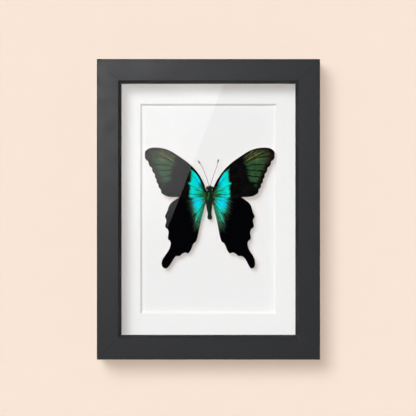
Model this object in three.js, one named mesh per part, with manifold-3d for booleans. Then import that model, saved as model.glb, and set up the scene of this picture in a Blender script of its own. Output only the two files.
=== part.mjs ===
// A framed butterfly specimen: a black box frame with glass, a bevel-cut mat and a spread swallowtail.
// Millimetres, +Z up, x to the right, the front faces -Y and the wall is the plane y = 0.
// The origin is the notch of the sawtooth hanger that bears on the wall nail.
import * as THREE from "three";
import { mergeVertices } from "three/addons/utils/BufferGeometryUtils.js";
import { TessellateModifier } from "three/addons/modifiers/TessellateModifier.js";
import Module from "manifold-3d";

const wasm = await Module();
wasm.setup();

// Frame
const FRAME_WIDTH = 150;
const FRAME_HEIGHT = 202;
const FRAME_DEPTH = 28;
const HANGING_DROP = 26; // from the top of the frame down to the hanging notch
const RAIL_WIDTH = 16.5; // from the outer side to the sight edge
const REBATE = 5.2; // how far the lip reaches over the glass
const LIP_DEPTH = 5;
const CHAMFER_WIDTH = 2;
const CHAMFER_DEPTH = 2.6;
const ARRIS = 0.7; // rounding of the outer front edge
const MITRE_GAP = 0.1;

// Layers in the rebate, from the glass back
const FIT = 0.2; // play between layers and round their edges
const GLASS_THICKNESS = 2;
const SPACER_DEPTH = 10;
const SPACER_THICKNESS = 4;
const MAT_THICKNESS = 1.4;
const BOARD_THICKNESS = 3;
const PANEL_THICKNESS = 2.5;
const WINDOW_WIDTH = 89.8; // at the back of the mat, before its 45 degree bevel opens it
const WINDOW_HEIGHT = 140;
const WINDOW_RAISE = 0.3;

// Hanger and retaining tabs
const HANGER_LENGTH = 46;
const HANGER_HEIGHT = 9;
const HANGER_GAUGE = 0.8;
const HANGER_RAISED = 26; // length of the raised middle
const HANGER_LIFT = 1.6;
const TOOTH_PITCH = 3;
const TOOTH_DEPTH = 1.6;
const TEETH = 7;
const SCREW_SPACING = 38;
const SCREW_HEAD_RADIUS = 1.7;
const SCREW_SHANK_RADIUS = 0.8;
const SCREW_HEAD_HEIGHT = 0.9;
const SCREW_LENGTH = 2.4;
const TAB_LENGTH = 14;
const TAB_WIDTH = 6;
const TAB_GAUGE = 0.5;
const TAB_IN_RAIL = 4.5;
const TAB_SPREAD = 42; // from the middle of a rail to each of its two tabs

// Butterfly: widths run across, depths from back to front, lengths along the body
const SPECIMEN_SHIFT = 0.9; // its axis stands this far right of the frame's middle
const SPECIMEN_RAISE = 7.6;
const BODY_LIFT = 4.3; // from the board to the body's axis
const THORAX = { width: 5.3, depth: 5.6, length: 8.7, z: 0.1 };
const COLLAR = { width: 3.4, depth: 3.4, length: 2.5, y: -0.2, z: 3.3 };
const SHOULDER = { width: 1.7, depth: 1.9, length: 3.4, x: 1.75, y: -1.2, z: 1.6 };
const HEAD = { width: 3.3, depth: 3.2, length: 3.2 };
const HEAD_PLACE = 6.35;
const EYE = { width: 2.1, depth: 2.4, length: 2.3, x: 1.42, y: 0.1, z: 0.1 };
const PALP = { width: 0.9, depth: 1.9, length: 1.6, x: 0.5, y: 0.2, z: 1 };
const PROBOSCIS = { radius: 0.2, coil: 1.25, core: 0.5, turns: 1.6, y: 1.7, z: 0.4 };
const ABDOMEN_LENGTH = 10.2;
const ABDOMEN_GAP = 0.15; // between the abdomen and the thorax
const ABDOMEN_SHIFT = -0.4;
const ABDOMEN_LEAN = 0.05; // radians, its tip to the right
const LEG_RADIUS = 0.25;
const LEG_PAIRS = [{ z: 2.2, reach: 1 }, { z: 0.2, reach: 0.8 }, { z: -1.8, reach: 1.1 }];
const ANTENNA_RADIUS = 0.16;
const CLUB = { width: 0.62, depth: 0.62, length: 2.8 };
const PIN_RADIUS = 0.35;
const PIN_TIP = 1.2; // from the body's axis back to the pin's tip
const PIN_IN_BOARD = 2.4;

// Wings
const WING_LIFT = 5.6; // from the board to the wing roots
const WING_THICKNESS = 0.3;
const WING_MESH = 8; // longest edge of a wing's facets
const WING_RISE = { slope: 0.028, arch: 0.5, span: 46, wave: 0.25, waveLength: 7 };
const VEIN_RADIUS = 0.22;
const HINDWING_DROP = 0.6; // how far a hindwing lies behind its forewing
const LEFT_HINDWING = { lean: 0.044, shoulder: -12.4, fold: 1.65, foldReach: 12 };

const frameCentre = -FRAME_HEIGHT / 2 + HANGING_DROP;
const sightWidth = FRAME_WIDTH - 2 * RAIL_WIDTH;
const sightHeight = FRAME_HEIGHT - 2 * RAIL_WIDTH;
const insertWidth = sightWidth + 2 * (REBATE - FIT);
const insertHeight = sightHeight + 2 * (REBATE - FIT);

// Front face of each layer; every layer starts FIT behind the one before it
const glassFront = -FRAME_DEPTH + LIP_DEPTH + FIT;
const spacerFront = glassFront + GLASS_THICKNESS + FIT;
const matFront = spacerFront + SPACER_DEPTH + FIT;
const boardFront = matFront + MAT_THICKNESS + FIT;
const panelFront = boardFront + BOARD_THICKNESS + FIT;
const panelBack = panelFront + PANEL_THICKNESS;

const finish = (color, roughness, metalness = 0) =>
  new THREE.MeshStandardMaterial({ color, roughness, metalness });
const finishes = {
  rail: finish(0x2b2c2d, 0.42),
  glass: finish(0xe8f0ee, 0.05),
  foam: finish(0xf2f1ee, 0.9),
  paper: finish(0xf1f0ee, 0.85),
  hardboard: finish(0x8a6748, 0.8),
  steel: finish(0xb9bcbe, 0.35, 1),
  body: finish(0x14170f, 0.8),
  wing: finish(0x0a0c0e, 0.6),
};
Object.assign(finishes.glass, { transparent: true, opacity: 0.25 });

// ---- Geometry helpers

// The manifold-3d solid of a closed geometry.
function solid(geometry) {
  const bare = geometry.clone();
  for (const name of Object.keys(bare.attributes)) {
    if (name !== "position") bare.deleteAttribute(name);
  }
  const merged = mergeVertices(bare, 1e-4);
  return new wasm.Manifold(
    new wasm.Mesh({
      numProp: 3,
      vertProperties: merged.attributes.position.array,
      triVerts: new Uint32Array(merged.index.array),
    }),
  );
}

// The geometry of a manifold-3d solid.
function shell(made) {
  const { numProp, vertProperties, triVerts } = made.getMesh();
  const geometry = new THREE.BufferGeometry();
  geometry.setAttribute("position", new THREE.BufferAttribute(vertProperties, numProp));
  geometry.setIndex(new THREE.BufferAttribute(triVerts, 1));
  geometry.computeVertexNormals();
  return geometry;
}

const join = (...geometries) => shell(geometries.map(solid).reduce((sum, next) => sum.add(next)));
const cut = (whole, ...tools) =>
  shell(tools.map(solid).reduce((rest, tool) => rest.subtract(tool), solid(whole)));

// A flat plate: the outline lies in x and z, and the thickness runs back from y = 0.
function plate(outline, thickness, curveSegments = 8) {
  return new THREE.ExtrudeGeometry(outline, { depth: thickness, bevelEnabled: false, curveSegments })
    .rotateX(Math.PI / 2)
    .translate(0, thickness, 0);
}

// A box whose front face is at y = 0.
const slab = (width, thickness, height) =>
  new THREE.BoxGeometry(width, thickness, height).translate(0, thickness / 2, 0);

// A rod along y, from its front end at y = 0 back.
const rod = (radius, length, sides = 12) =>
  new THREE.CylinderGeometry(radius, radius, length, sides).translate(0, length / 2, 0);

// An ellipsoid of the given size and place, enlarged all round by the clearance; on the left with side -1.
function ball({ width, depth, length, x = 0, y = 0, z = 0 }, around, along, side = 1, clear = 0) {
  return new THREE.SphereGeometry(0.5, around, along)
    .scale(width + 2 * clear, depth + 2 * clear, length + 2 * clear)
    .translate(side * x, y, z);
}

const vectors = (points) => points.map((point) => new THREE.Vector2(...point));

// A round tube along a curve through the given points, with an even number of sides.
function tube(points, radius, steps, sides = 4) {
  const path = new THREE.CatmullRomCurve3(points.map((p) => new THREE.Vector3(...p)));
  const section = new THREE.Shape();
  section.absarc(0, 0, radius, 0, 2 * Math.PI);
  return new THREE.ExtrudeGeometry(section, { steps, extrudePath: path, curveSegments: sides / 2 });
}

const part = new THREE.Group();
const frame = new THREE.Group();
frame.position.z = frameCentre;
part.add(frame);

function add(parent, name, geometry, material, x = 0, y = 0, z = 0) {
  const mesh = new THREE.Mesh(geometry, material);
  mesh.name = name;
  mesh.position.set(x, y, z);
  parent.add(mesh);
  return mesh;
}

// ---- Frame rails, mitred at the corners

// The section of a rail: x runs forward from the wall, y inward from the outer side.
function railSection() {
  const section = new THREE.Shape();
  section.moveTo(0, 0);
  section.lineTo(FRAME_DEPTH - ARRIS, 0);
  section.absarc(FRAME_DEPTH - ARRIS, ARRIS, ARRIS, -Math.PI / 2, 0);
  section.lineTo(FRAME_DEPTH, RAIL_WIDTH - CHAMFER_WIDTH);
  section.lineTo(FRAME_DEPTH - CHAMFER_DEPTH, RAIL_WIDTH);
  section.lineTo(FRAME_DEPTH - LIP_DEPTH, RAIL_WIDTH);
  section.lineTo(FRAME_DEPTH - LIP_DEPTH, RAIL_WIDTH - REBATE);
  section.lineTo(0, RAIL_WIDTH - REBATE);
  return section;
}

// A top rail of the given length, its outer side at z = 0, with both ends drawn in along the mitres.
function railGeometry(length) {
  const options = { depth: length, bevelEnabled: false, curveSegments: 4 };
  const bar = new THREE.ExtrudeGeometry(railSection(), options);
  const place = bar.attributes.position;
  for (let i = 0; i < place.count; i++) {
    const side = place.getZ(i) > length / 2 ? 1 : -1;
    place.setZ(i, side * (length / 2 - place.getY(i) - MITRE_GAP / 2));
  }
  const forward = new THREE.Vector3(0, -1, 0);
  const inward = new THREE.Vector3(0, 0, -1);
  const along = new THREE.Vector3(1, 0, 0);
  return bar.applyMatrix4(new THREE.Matrix4().makeBasis(forward, inward, along));
}

// Slots for the tabs, in the rebate wall of a top rail.
function tabSlots(offsets) {
  const play = FIT / 3;
  const depth = TAB_IN_RAIL + 2 * play;
  return offsets.map((x) =>
    slab(TAB_WIDTH + 2 * play, TAB_GAUGE + 2 * play, depth)
      .translate(x, panelBack + FIT - play, REBATE - RAIL_WIDTH + TAB_IN_RAIL / 2));
}

// A thin spring-steel tab with a rounded free end, its root inside the rail.
function tabGeometry() {
  const half = TAB_WIDTH / 2;
  const outline = new THREE.Shape();
  outline.moveTo(-half, 0);
  outline.lineTo(-half, -TAB_LENGTH + half);
  outline.absarc(0, -TAB_LENGTH + half, half, Math.PI, 2 * Math.PI);
  outline.lineTo(half, 0);
  return plate(outline, TAB_GAUGE, 5);
}

const rails = [
  { name: "top", length: FRAME_WIDTH, out: FRAME_HEIGHT / 2 },
  { name: "right", length: FRAME_HEIGHT, out: FRAME_WIDTH / 2 },
  { name: "bottom", length: FRAME_WIDTH, out: FRAME_HEIGHT / 2 },
  { name: "left", length: FRAME_HEIGHT, out: FRAME_WIDTH / 2 },
];
rails.forEach((rail, quarter) => {
  const side = new THREE.Group();
  side.rotation.y = (quarter * Math.PI) / 2;
  const carrier = new THREE.Group();
  carrier.position.z = rail.out;
  side.add(carrier);
  frame.add(side);
  const tabs = [-TAB_SPREAD, TAB_SPREAD];
  add(carrier, `rail_${rail.name}`, cut(railGeometry(rail.length), ...tabSlots(tabs)), finishes.rail);
  const root = TAB_IN_RAIL - RAIL_WIDTH + REBATE;
  tabs.forEach((x, i) => {
    const name = `retaining_tab_${rail.name}_${i + 1}`;
    add(carrier, name, tabGeometry(), finishes.steel, x, panelBack + FIT, root);
  });
});

// ---- Glass, spacer strips, mat, board and back panel

add(frame, "glass_pane", slab(insertWidth, GLASS_THICKNESS, insertHeight), finishes.glass, 0, glassFront);

const spacerSide = insertHeight - 2 * (SPACER_THICKNESS + FIT);
const spacerX = (insertWidth - SPACER_THICKNESS) / 2;
const spacerZ = (insertHeight - SPACER_THICKNESS) / 2;
for (const [name, sign] of [["top", 1], ["bottom", -1]]) {
  const strip = slab(insertWidth, SPACER_DEPTH, SPACER_THICKNESS);
  add(frame, `spacer_${name}`, strip, finishes.foam, 0, spacerFront, sign * spacerZ);
}
for (const [name, sign] of [["right", 1], ["left", -1]]) {
  const strip = slab(SPACER_THICKNESS, SPACER_DEPTH, spacerSide);
  add(frame, `spacer_${name}`, strip, finishes.foam, sign * spacerX, spacerFront);
}

// A plug for the mat's window, which widens at 45 degrees towards the front.
function windowPlug() {
  const over = 1;
  const thickness = MAT_THICKNESS + 2 * over;
  const plug = slab(WINDOW_WIDTH - 2 * over, thickness, WINDOW_HEIGHT - 2 * over);
  const place = plug.attributes.position;
  for (let i = 0; i < place.count; i++) {
    if (place.getY(i) > thickness / 2) continue;
    place.setX(i, place.getX(i) + Math.sign(place.getX(i)) * thickness);
    place.setZ(i, place.getZ(i) + Math.sign(place.getZ(i)) * thickness);
  }
  return plug.translate(0, -over, WINDOW_RAISE);
}

const mat = cut(slab(insertWidth, MAT_THICKNESS, insertHeight), windowPlug());
add(frame, "mat_board", mat, finishes.paper, 0, matFront);

const pinHole = rod(PIN_RADIUS + FIT / 2, BOARD_THICKNESS).translate(SPECIMEN_SHIFT, -FIT, SPECIMEN_RAISE);
const board = cut(slab(insertWidth, BOARD_THICKNESS, insertHeight), pinHole);
add(frame, "mount_board", board, finishes.paper, 0, boardFront);

const screwPlaces = [-SCREW_SPACING / 2, SCREW_SPACING / 2];
const screwRise = HANGER_HEIGHT / 2 - TOOTH_DEPTH;
const screwHole = rod(SCREW_SHANK_RADIUS + FIT / 2, SCREW_LENGTH);
const holeFront = PANEL_THICKNESS - SCREW_LENGTH + FIT + HANGER_GAUGE;
const screwHoles = screwPlaces.map((x) => screwHole.clone().translate(x, holeFront, screwRise - frameCentre));
const panel = cut(slab(insertWidth, PANEL_THICKNESS, insertHeight), ...screwHoles);
add(frame, "back_panel", panel, finishes.hardboard, 0, panelFront);

// ---- Sawtooth hanger and its two screws

// The strip seen from above: flat feet on the panel and a raised middle, y running back.
function hangerStrip() {
  const foot = HANGER_LENGTH / 2;
  const ramp = HANGER_RAISED / 2 + HANGER_LIFT;
  const top = HANGER_RAISED / 2;
  const bend = HANGER_GAUGE / 2; // the back of the strip turns a little further out than its front
  const raised = HANGER_LIFT + HANGER_GAUGE;
  const section = vectors([
    [-foot, 0], [-ramp, 0], [-top, HANGER_LIFT], [top, HANGER_LIFT], [ramp, 0], [foot, 0],
    [foot, HANGER_GAUGE], [ramp + bend, HANGER_GAUGE], [top + bend, raised],
    [-top - bend, raised], [-ramp - bend, HANGER_GAUGE], [-foot, HANGER_GAUGE],
  ]);
  return new THREE.ExtrudeGeometry(new THREE.Shape(section), { depth: HANGER_HEIGHT, bevelEnabled: false })
    .translate(0, 0, -TOOTH_DEPTH);
}

// A zigzag prism that cuts the notches; the middle notch's tip is at the origin.
function toothCutter() {
  const below = -TOOTH_DEPTH - 1;
  const reach = (TEETH * TOOTH_PITCH) / 2;
  const zigzag = new THREE.Shape();
  zigzag.moveTo(-reach, below);
  for (let i = 0; i < TEETH; i++) {
    zigzag.lineTo(-reach + i * TOOTH_PITCH, -TOOTH_DEPTH - 0.1);
    zigzag.lineTo(-reach + (i + 0.5) * TOOTH_PITCH, 0);
  }
  zigzag.lineTo(reach, -TOOTH_DEPTH - 0.1);
  zigzag.lineTo(reach, below);
  return plate(zigzag, HANGER_LIFT + 2).translate(0, HANGER_LIFT - 1, 0);
}

// A pan head with a cross slot, its shank running forward into the panel.
function screwGeometry() {
  const shank = SCREW_SHANK_RADIUS;
  const head = SCREW_HEAD_RADIUS;
  const top = SCREW_HEAD_HEIGHT;
  const profile = vectors([[0, -SCREW_LENGTH], [shank * 0.4, -SCREW_LENGTH], [shank, -SCREW_LENGTH + shank],
    [shank, 0], [head, 0], [head, top / 2], [head * 0.7, top], [0, top]]);
  const slots = [[1.3 * head, 0.3 * head], [0.3 * head, 1.3 * head]].map(([across, up]) =>
    new THREE.BoxGeometry(across, top, up).translate(0, top, 0));
  return cut(new THREE.LatheGeometry(profile, 14), ...slots);
}

const footHoles = screwPlaces.map((x) => screwHole.clone().translate(x, -SCREW_LENGTH / 2, screwRise));
const hangerFront = panelBack + FIT;
const hanger = cut(hangerStrip(), toothCutter(), ...footHoles);
add(part, "sawtooth_hanger", hanger, finishes.steel, 0, hangerFront);
screwPlaces.forEach((x, i) => {
  const seat = hangerFront + HANGER_GAUGE + FIT / 2;
  add(part, `hanger_screw_${i + 1}`, screwGeometry(), finishes.steel, x, seat, screwRise);
});

// ---- Butterfly: its group's origin is on the board, below the body's axis

const butterfly = new THREE.Group();
butterfly.position.set(SPECIMEN_SHIFT, boardFront, SPECIMEN_RAISE);
frame.add(butterfly);

// How far the wing sheet stands in front of its root: a shallow rise to the tips with a soft arch across.
function wingRise(x, z) {
  const { slope, arch, span, wave, waveLength } = WING_RISE;
  return slope * x + arch * Math.sin((Math.PI * x) / span) + wave * Math.sin((z + 4) / waveLength);
}

// A smooth line through hand-set points, as a list of 2-D points.
const smooth = (points, steps) =>
  new THREE.SplineCurve(vectors(points)).getPoints(steps).map((point) => point.toArray());

// A margin with rounded lobes between shallow notches: the lobes stand out to the left of the line's course.
function scalloped(points, lobes, depth, perLobe = 3) {
  const line = new THREE.SplineCurve(vectors(points));
  const count = lobes * perLobe;
  return Array.from({ length: count + 1 }, (_, i) => {
    const t = i / count;
    const out = line.getTangent(t);
    const lobe = depth * Math.abs(Math.sin(Math.PI * lobes * t));
    return line.getPoint(t).add(new THREE.Vector2(-out.y, out.x).multiplyScalar(lobe)).toArray();
  });
}

const forewingOutline = [
  ...smooth([[2.2, 4.2], [3.1, 7.1], [4.9, 11.7], [8.7, 17.9], [14.2, 23.5], [21.4, 28.7], [27.9, 32.5],
    [34.4, 34.1], [40.2, 33.9], [43.5, 31.8], [44, 29]], 26),
  ...scalloped([[43.9, 28.6], [40.8, 23], [37.6, 17], [35.9, 12], [34, 7.4], [31.6, 2.6]], 7, 0.5),
  ...smooth([[31.2, 2.2], [28.4, 1.1], [24, 0.7], [13, 0.4], [2.4, 0]], 10),
];

const hindwingOutline = [
  ...smooth([[2.2, 0.6], [5, 3], [12, 3.4], [18.5, 2], [22.4, -0.1], [26.5, -3.2], [28, -5.6], [28.9, -8.6],
    [30.4, -12.4]], 15),
  ...smooth([[30.4, -12.6], [29.3, -15.2], [29.9, -18.6], [29.4, -20.1]], 5),
  ...smooth([[28, -21.1], [27.4, -23.4], [27.8, -26.6], [27.4, -28]], 5),
  ...smooth([[26.2, -28.9], [25.6, -31], [26.7, -35], [29.8, -40.1], [30.7, -43.4], [30.3, -46.3],
    [28.5, -47.7], [26.8, -46.4], [24.5, -42], [22.6, -39.7]], 20),
  ...smooth([[21.4, -39.1], [19.5, -39.3], [17.6, -37.8], [15.8, -36.8]], 5),
  ...smooth([[14.9, -37], [13.4, -37.4], [11.5, -34.6], [10.2, -31.3], [9.2, -30.2]], 6),
  ...smooth([[8.3, -29.6], [7.2, -26.2], [5.2, -15.9], [3.5, -9.3], [2.1, -4.5]], 10),
];

const forewingVeins = [
  [[2.6, 3.6], [12, 15], [22, 22.5], [32, 29], [42, 32]],
  [[21, 21.8], [30, 25.5], [42.6, 27]],
  [[2.8, 2.6], [11, 7.5], [20, 11.4], [34.4, 8.6]],
  [[22, 22.5], [23.4, 17.5], [20, 11.4]],
  [[23.2, 18.6], [31, 18.6], [38.4, 18]],
];

const hindwingVeins = [
  [[2.8, -0.6], [12, -2.6], [18, -6.5], [28.6, -11.8]],
  [[2.8, -2.6], [8.5, -11], [13.5, -19.5], [20.6, -38]],
  [[18, -6.5], [17.6, -14.5], [13.5, -19.5]],
  [[17.4, -15.4], [23, -29], [29, -45]],
];

// The rounded forms of the thorax, enlarged all round by the clearance: barrel, collar and shoulder pads.
function thoraxForms(clear = 0) {
  return [
    ball(THORAX, 16, 12, 1, clear),
    ball(COLLAR, 12, 8, 1, clear),
    ball(SHOULDER, 8, 6, -1, clear),
    ball(SHOULDER, 8, 6, 1, clear),
  ];
}

// The left hindwing is set with its tail leaning further out, and its inner edge folded under a little more.
function leanLeft([x, z]) {
  const { lean, shoulder, fold, foldReach } = LEFT_HINDWING;
  return [x + lean * (shoulder - z) + fold * Math.max(0, 1 - x / foldReach), z];
}

// A spread wing, its root the given distance in front of the body's axis: a thin plate split into facets and
// bent to the sheet's rise, with its main veins fused on.
function wingGeometry(outline, veins, root, mirror) {
  const flat = plate(new THREE.Shape(vectors(outline)), WING_THICKNESS).translate(0, -WING_THICKNESS / 2, 0);
  const split = new TessellateModifier(WING_MESH, 12).modify(flat);
  const place = split.attributes.position;
  for (let i = 0; i < place.count; i++) {
    place.setY(i, place.getY(i) - wingRise(place.getX(i), place.getZ(i)));
  }
  const ribs = veins.map((vein) =>
    tube(vein.map(([x, z]) => [x, -wingRise(x, z) - WING_THICKNESS / 2, z]), VEIN_RADIUS, 4));
  const wing = cut(join(split, ...ribs), ...thoraxForms(FIT).map((form) => form.translate(0, root, 0)));
  return mirror ? shell(solid(wing).mirror([1, 0, 0])) : wing;
}

// One leg of a dried specimen: drawn up under the thorax, its last joint lying back.
function legGeometry(side, { z, reach }) {
  const under = THORAX.depth / 2;
  return tube([
    [side * 0.9, under - 0.7, z],
    [side * 1.6, under + 0.15, z + 0.5 * reach],
    [side * 2.5, under + 0.5, z + 1.5 * reach],
    [side * 1.9, under + 0.9, z + 0.2 * reach],
    [side * 1.3, under + 1, z - 1.6 * reach],
  ], LEG_RADIUS, 6);
}

function thoraxGeometry() {
  const legs = [-1, 1].flatMap((side) => LEG_PAIRS.map((pair) => legGeometry(side, pair)));
  const bore = rod(PIN_RADIUS + FIT / 2, THORAX.depth).translate(0, PIN_TIP - FIT, 0);
  return cut(join(...thoraxForms(), ...legs), bore);
}

// A turned body along -z from z = 0 that swells between shallow rings, with a knob at its end.
function abdomenGeometry() {
  const outline = [[1.45, 0], [1.5, 1.6], [1.15, 4.4], [0.78, 7.2], [0.9, 8.2], [1.12, 9.1], [0.8, 9.9]];
  const line = new THREE.SplineCurve(vectors(outline));
  const steps = 14;
  const profile = [new THREE.Vector2(0, 0)];
  for (let i = 0; i <= steps; i++) {
    const point = line.getPoint(i / steps);
    const swell = i % 2 ? 1.03 : 0.97;
    profile.push(new THREE.Vector2(point.x * swell, point.y));
  }
  profile.push(new THREE.Vector2(0, ABDOMEN_LENGTH));
  return new THREE.LatheGeometry(profile, 14).rotateX(-Math.PI / 2);
}

// The head with its two eyes, the palps in front and the coiled proboscis below.
function headGeometry() {
  const pairs = [-1, 1].flatMap((side) => [ball(EYE, 10, 8, side), ball(PALP, 8, 6, side)]);
  const { radius, coil, core, turns, y, z } = PROBOSCIS;
  const steps = 14;
  const spiral = Array.from({ length: steps + 1 }, (_, i) => {
    const turn = (i / steps) * turns * 2 * Math.PI;
    const reach = THREE.MathUtils.lerp(coil, core, i / steps);
    return [radius * (i / steps - 0.5), y + reach * Math.cos(turn), z + reach * Math.sin(turn)];
  });
  return join(ball(HEAD, 12, 8), ...pairs, tube(spiral, radius, steps));
}

// An antenna: a thin shaft along the given course with a long club at its end.
function antennaGeometry(course) {
  const [before, tip] = course.slice(-2).map((p) => new THREE.Vector3(...p));
  const along = tip.clone().sub(before).normalize();
  const middle = tip.clone().sub(along);
  const club = ball(CLUB, 8, 8)
    .applyQuaternion(new THREE.Quaternion().setFromUnitVectors(new THREE.Vector3(0, 0, 1), along))
    .translate(...middle.toArray());
  return join(tube(course, ANTENNA_RADIUS, 10), club);
}

const antennaCourses = {
  left: [[-0.4, -1.4, 8.1], [-2.1, -2.2, 14.6], [-4.9, -2.6, 20.7], [-7.8, -2.4, 25.2]],
  right: [[0.4, -1.4, 8.1], [1.8, -2.2, 14], [4.4, -2.6, 20.7], [5.9, -2.4, 26.2]],
};

const asRight = (point) => point;
const hindLift = WING_LIFT - HINDWING_DROP;
const wings = [
  { kind: "forewing", outline: forewingOutline, veins: forewingVeins, lift: WING_LIFT, setLeft: asRight },
  { kind: "hindwing", outline: hindwingOutline, veins: hindwingVeins, lift: hindLift, setLeft: leanLeft },
];

const body = new THREE.Group();
body.position.y = -BODY_LIFT;
butterfly.add(body);
add(body, "thorax", thoraxGeometry(), finishes.body);
add(body, "head", headGeometry(), finishes.body, 0, 0, HEAD_PLACE);
const abdomenTop = THORAX.z - THORAX.length / 2 - ABDOMEN_GAP;
const abdomen = add(body, "abdomen", abdomenGeometry(), finishes.body, ABDOMEN_SHIFT, 0, abdomenTop);
abdomen.rotation.y = -ABDOMEN_LEAN;
for (const [side, course] of Object.entries(antennaCourses)) {
  add(body, `antenna_${side}`, antennaGeometry(course), finishes.body);
}
const pinLength = BODY_LIFT - PIN_TIP + PIN_IN_BOARD;
add(body, "mounting_pin", rod(PIN_RADIUS, pinLength, 10), finishes.steel, 0, PIN_TIP);

for (const { kind, outline, veins, lift, setLeft } of wings) {
  const root = lift - BODY_LIFT;
  const right = wingGeometry(outline, veins, root, false);
  const left = wingGeometry(outline.map(setLeft), veins.map((vein) => vein.map(setLeft)), root, true);
  add(butterfly, `${kind}_right`, right, finishes.wing, 0, -lift);
  add(butterfly, `${kind}_left`, left, finishes.wing, 0, -lift);
}

export default part;
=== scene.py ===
import math
import random

import bmesh
import bpy
import numpy as np
from mathutils import Matrix, Vector


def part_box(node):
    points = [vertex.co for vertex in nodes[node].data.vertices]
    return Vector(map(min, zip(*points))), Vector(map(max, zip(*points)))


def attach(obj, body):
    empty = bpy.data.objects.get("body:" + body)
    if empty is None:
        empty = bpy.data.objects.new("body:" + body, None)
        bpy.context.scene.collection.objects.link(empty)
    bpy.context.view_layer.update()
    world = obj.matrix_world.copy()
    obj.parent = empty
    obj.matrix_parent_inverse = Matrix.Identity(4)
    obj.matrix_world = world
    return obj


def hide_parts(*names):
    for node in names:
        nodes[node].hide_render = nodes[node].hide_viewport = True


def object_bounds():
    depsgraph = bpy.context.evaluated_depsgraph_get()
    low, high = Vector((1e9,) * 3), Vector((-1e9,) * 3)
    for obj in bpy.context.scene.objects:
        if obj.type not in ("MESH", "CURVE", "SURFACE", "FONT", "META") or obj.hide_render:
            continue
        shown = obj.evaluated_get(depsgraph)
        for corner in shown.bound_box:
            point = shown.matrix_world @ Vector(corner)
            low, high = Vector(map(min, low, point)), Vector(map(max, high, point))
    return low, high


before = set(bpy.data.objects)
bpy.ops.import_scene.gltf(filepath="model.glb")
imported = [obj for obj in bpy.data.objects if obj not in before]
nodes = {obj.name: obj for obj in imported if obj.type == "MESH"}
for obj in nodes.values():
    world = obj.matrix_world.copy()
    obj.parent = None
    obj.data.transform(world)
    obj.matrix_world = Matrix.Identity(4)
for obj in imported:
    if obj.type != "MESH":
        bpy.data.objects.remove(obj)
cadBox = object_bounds()
mm = 0.001
random.seed(11)
print("packed frame loaded")


def addNode(tree, kind, inputs=None, output=0, **settings):
    # one shader node, its sockets set or linked, and the output that the next node reads
    made = tree.nodes.new("ShaderNode" + kind)
    for name, value in settings.items():
        setattr(made, name, value)
    for key, value in (inputs or {}).items():
        if isinstance(value, bpy.types.NodeSocket):
            tree.links.new(value, made.inputs[key])
        else:
            made.inputs[key].default_value = value
    return made.outputs[output]


def blend(tree, factor, first, second):
    # a mix of two colours
    return addNode(tree, "Mix", {0: factor, 6: first, 7: second}, 2, data_type="RGBA")


def between(tree, factor, first, second):
    # a mix of two plain numbers
    return addNode(tree, "Mix", {0: factor, 2: first, 3: second})


def maths(tree, operation, first, second):
    return addNode(tree, "Math", {0: first, 1: second}, operation=operation)


def product(tree, first, *others):
    for other in others:
        first = maths(tree, "MULTIPLY", first, other)
    return first


def shifted(tree, value, noise, amount):
    # the value pushed to and fro by a noise that runs from 0 to 1
    return maths(tree, "ADD", value, maths(tree, "MULTIPLY", maths(tree, "SUBTRACT", noise, 0.5), amount))


def rise(tree, value, low, high, floor=0.0, top=1.0):
    # eases from floor to top while the value goes from low to high
    spans = {"Value": value, "From Min": low, "From Max": high, "To Min": floor, "To Max": top}
    return addNode(tree, "MapRange", spans, interpolation_type="SMOOTHSTEP")


def objectPlace(tree, stretch=(1, 1, 1)):
    place = addNode(tree, "TexCoord", output="Object")
    return addNode(tree, "Mapping", {"Vector": place, "Scale": stretch})


def noiseOf(tree, place, scale, detail=3.0, rough=0.55):
    settings = {"Vector": place, "Scale": scale, "Detail": detail, "Roughness": rough}
    return addNode(tree, "TexNoise", settings)


def attributeOf(tree, name, output="Fac"):
    return addNode(tree, "Attribute", output=output, attribute_name=name, attribute_type="GEOMETRY")


def toned(colour, level):
    # the same colour, darker or lighter
    return tuple(value * level for value in colour[:3]) + (1,)


def newFinish(name, sockets):
    # a material with its uniform values set, its node tree and its shader
    material = bpy.data.materials.new(name)
    material.use_nodes = True
    shader = material.node_tree.nodes["Principled BSDF"]
    for socket, value in sockets.items():
        shader.inputs[socket].default_value = value
    return material, material.node_tree, shader


def wire(tree, shader, **links):
    for socket, source in links.items():
        tree.links.new(source, shader.inputs[socket.replace("_", " ")])


def addBump(tree, shader, height, strength, distance=0.00003):
    # relief that follows a pattern, up to the given distance in metres
    normal = addNode(tree, "Bump", {"Strength": strength, "Distance": distance, "Height": height})
    tree.links.new(normal, shader.inputs["Normal"])


def finishPiece(name, bm, finishes, replaced=(), sharpFrom=35, flat=False):
    # turns a bmesh into a piece of the object that rides on the root body
    bmesh.ops.recalc_face_normals(bm, faces=bm.faces)
    mesh = bpy.data.meshes.new(name)
    bm.to_mesh(mesh)
    bm.free()
    for finish in finishes:
        mesh.materials.append(finish)
    mesh.shade_smooth()
    mesh.set_sharp_from_angle(angle=math.radians(sharpFrom))
    piece = bpy.data.objects.new(name, mesh)
    bpy.context.scene.collection.objects.link(piece)
    if flat:
        piece.modifiers.new("flatFaces", "WEIGHTED_NORMAL").keep_sharp = True
    if replaced:
        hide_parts(*replaced)
    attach(piece, "root")
    return piece


def vertsOf(made):
    return [item for item in made["geom"] if isinstance(item, bmesh.types.BMVert)]


def centreOf(name):
    low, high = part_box(name)
    return (low + high) / 2


def cutThrough(bm, place, normal, merge=1e-5, clearOuter=False):
    # cuts the whole mesh by a plane
    return bmesh.ops.bisect_plane(bm, geom=bm.verts[:] + bm.edges[:] + bm.faces[:], dist=merge,
                                  plane_co=place, plane_no=normal, clear_outer=clearOuter)


def placeInMetres(bm, place):
    bmesh.ops.scale(bm, verts=bm.verts, vec=(mm, mm, mm))
    bmesh.ops.translate(bm, verts=bm.verts, vec=place)


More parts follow.
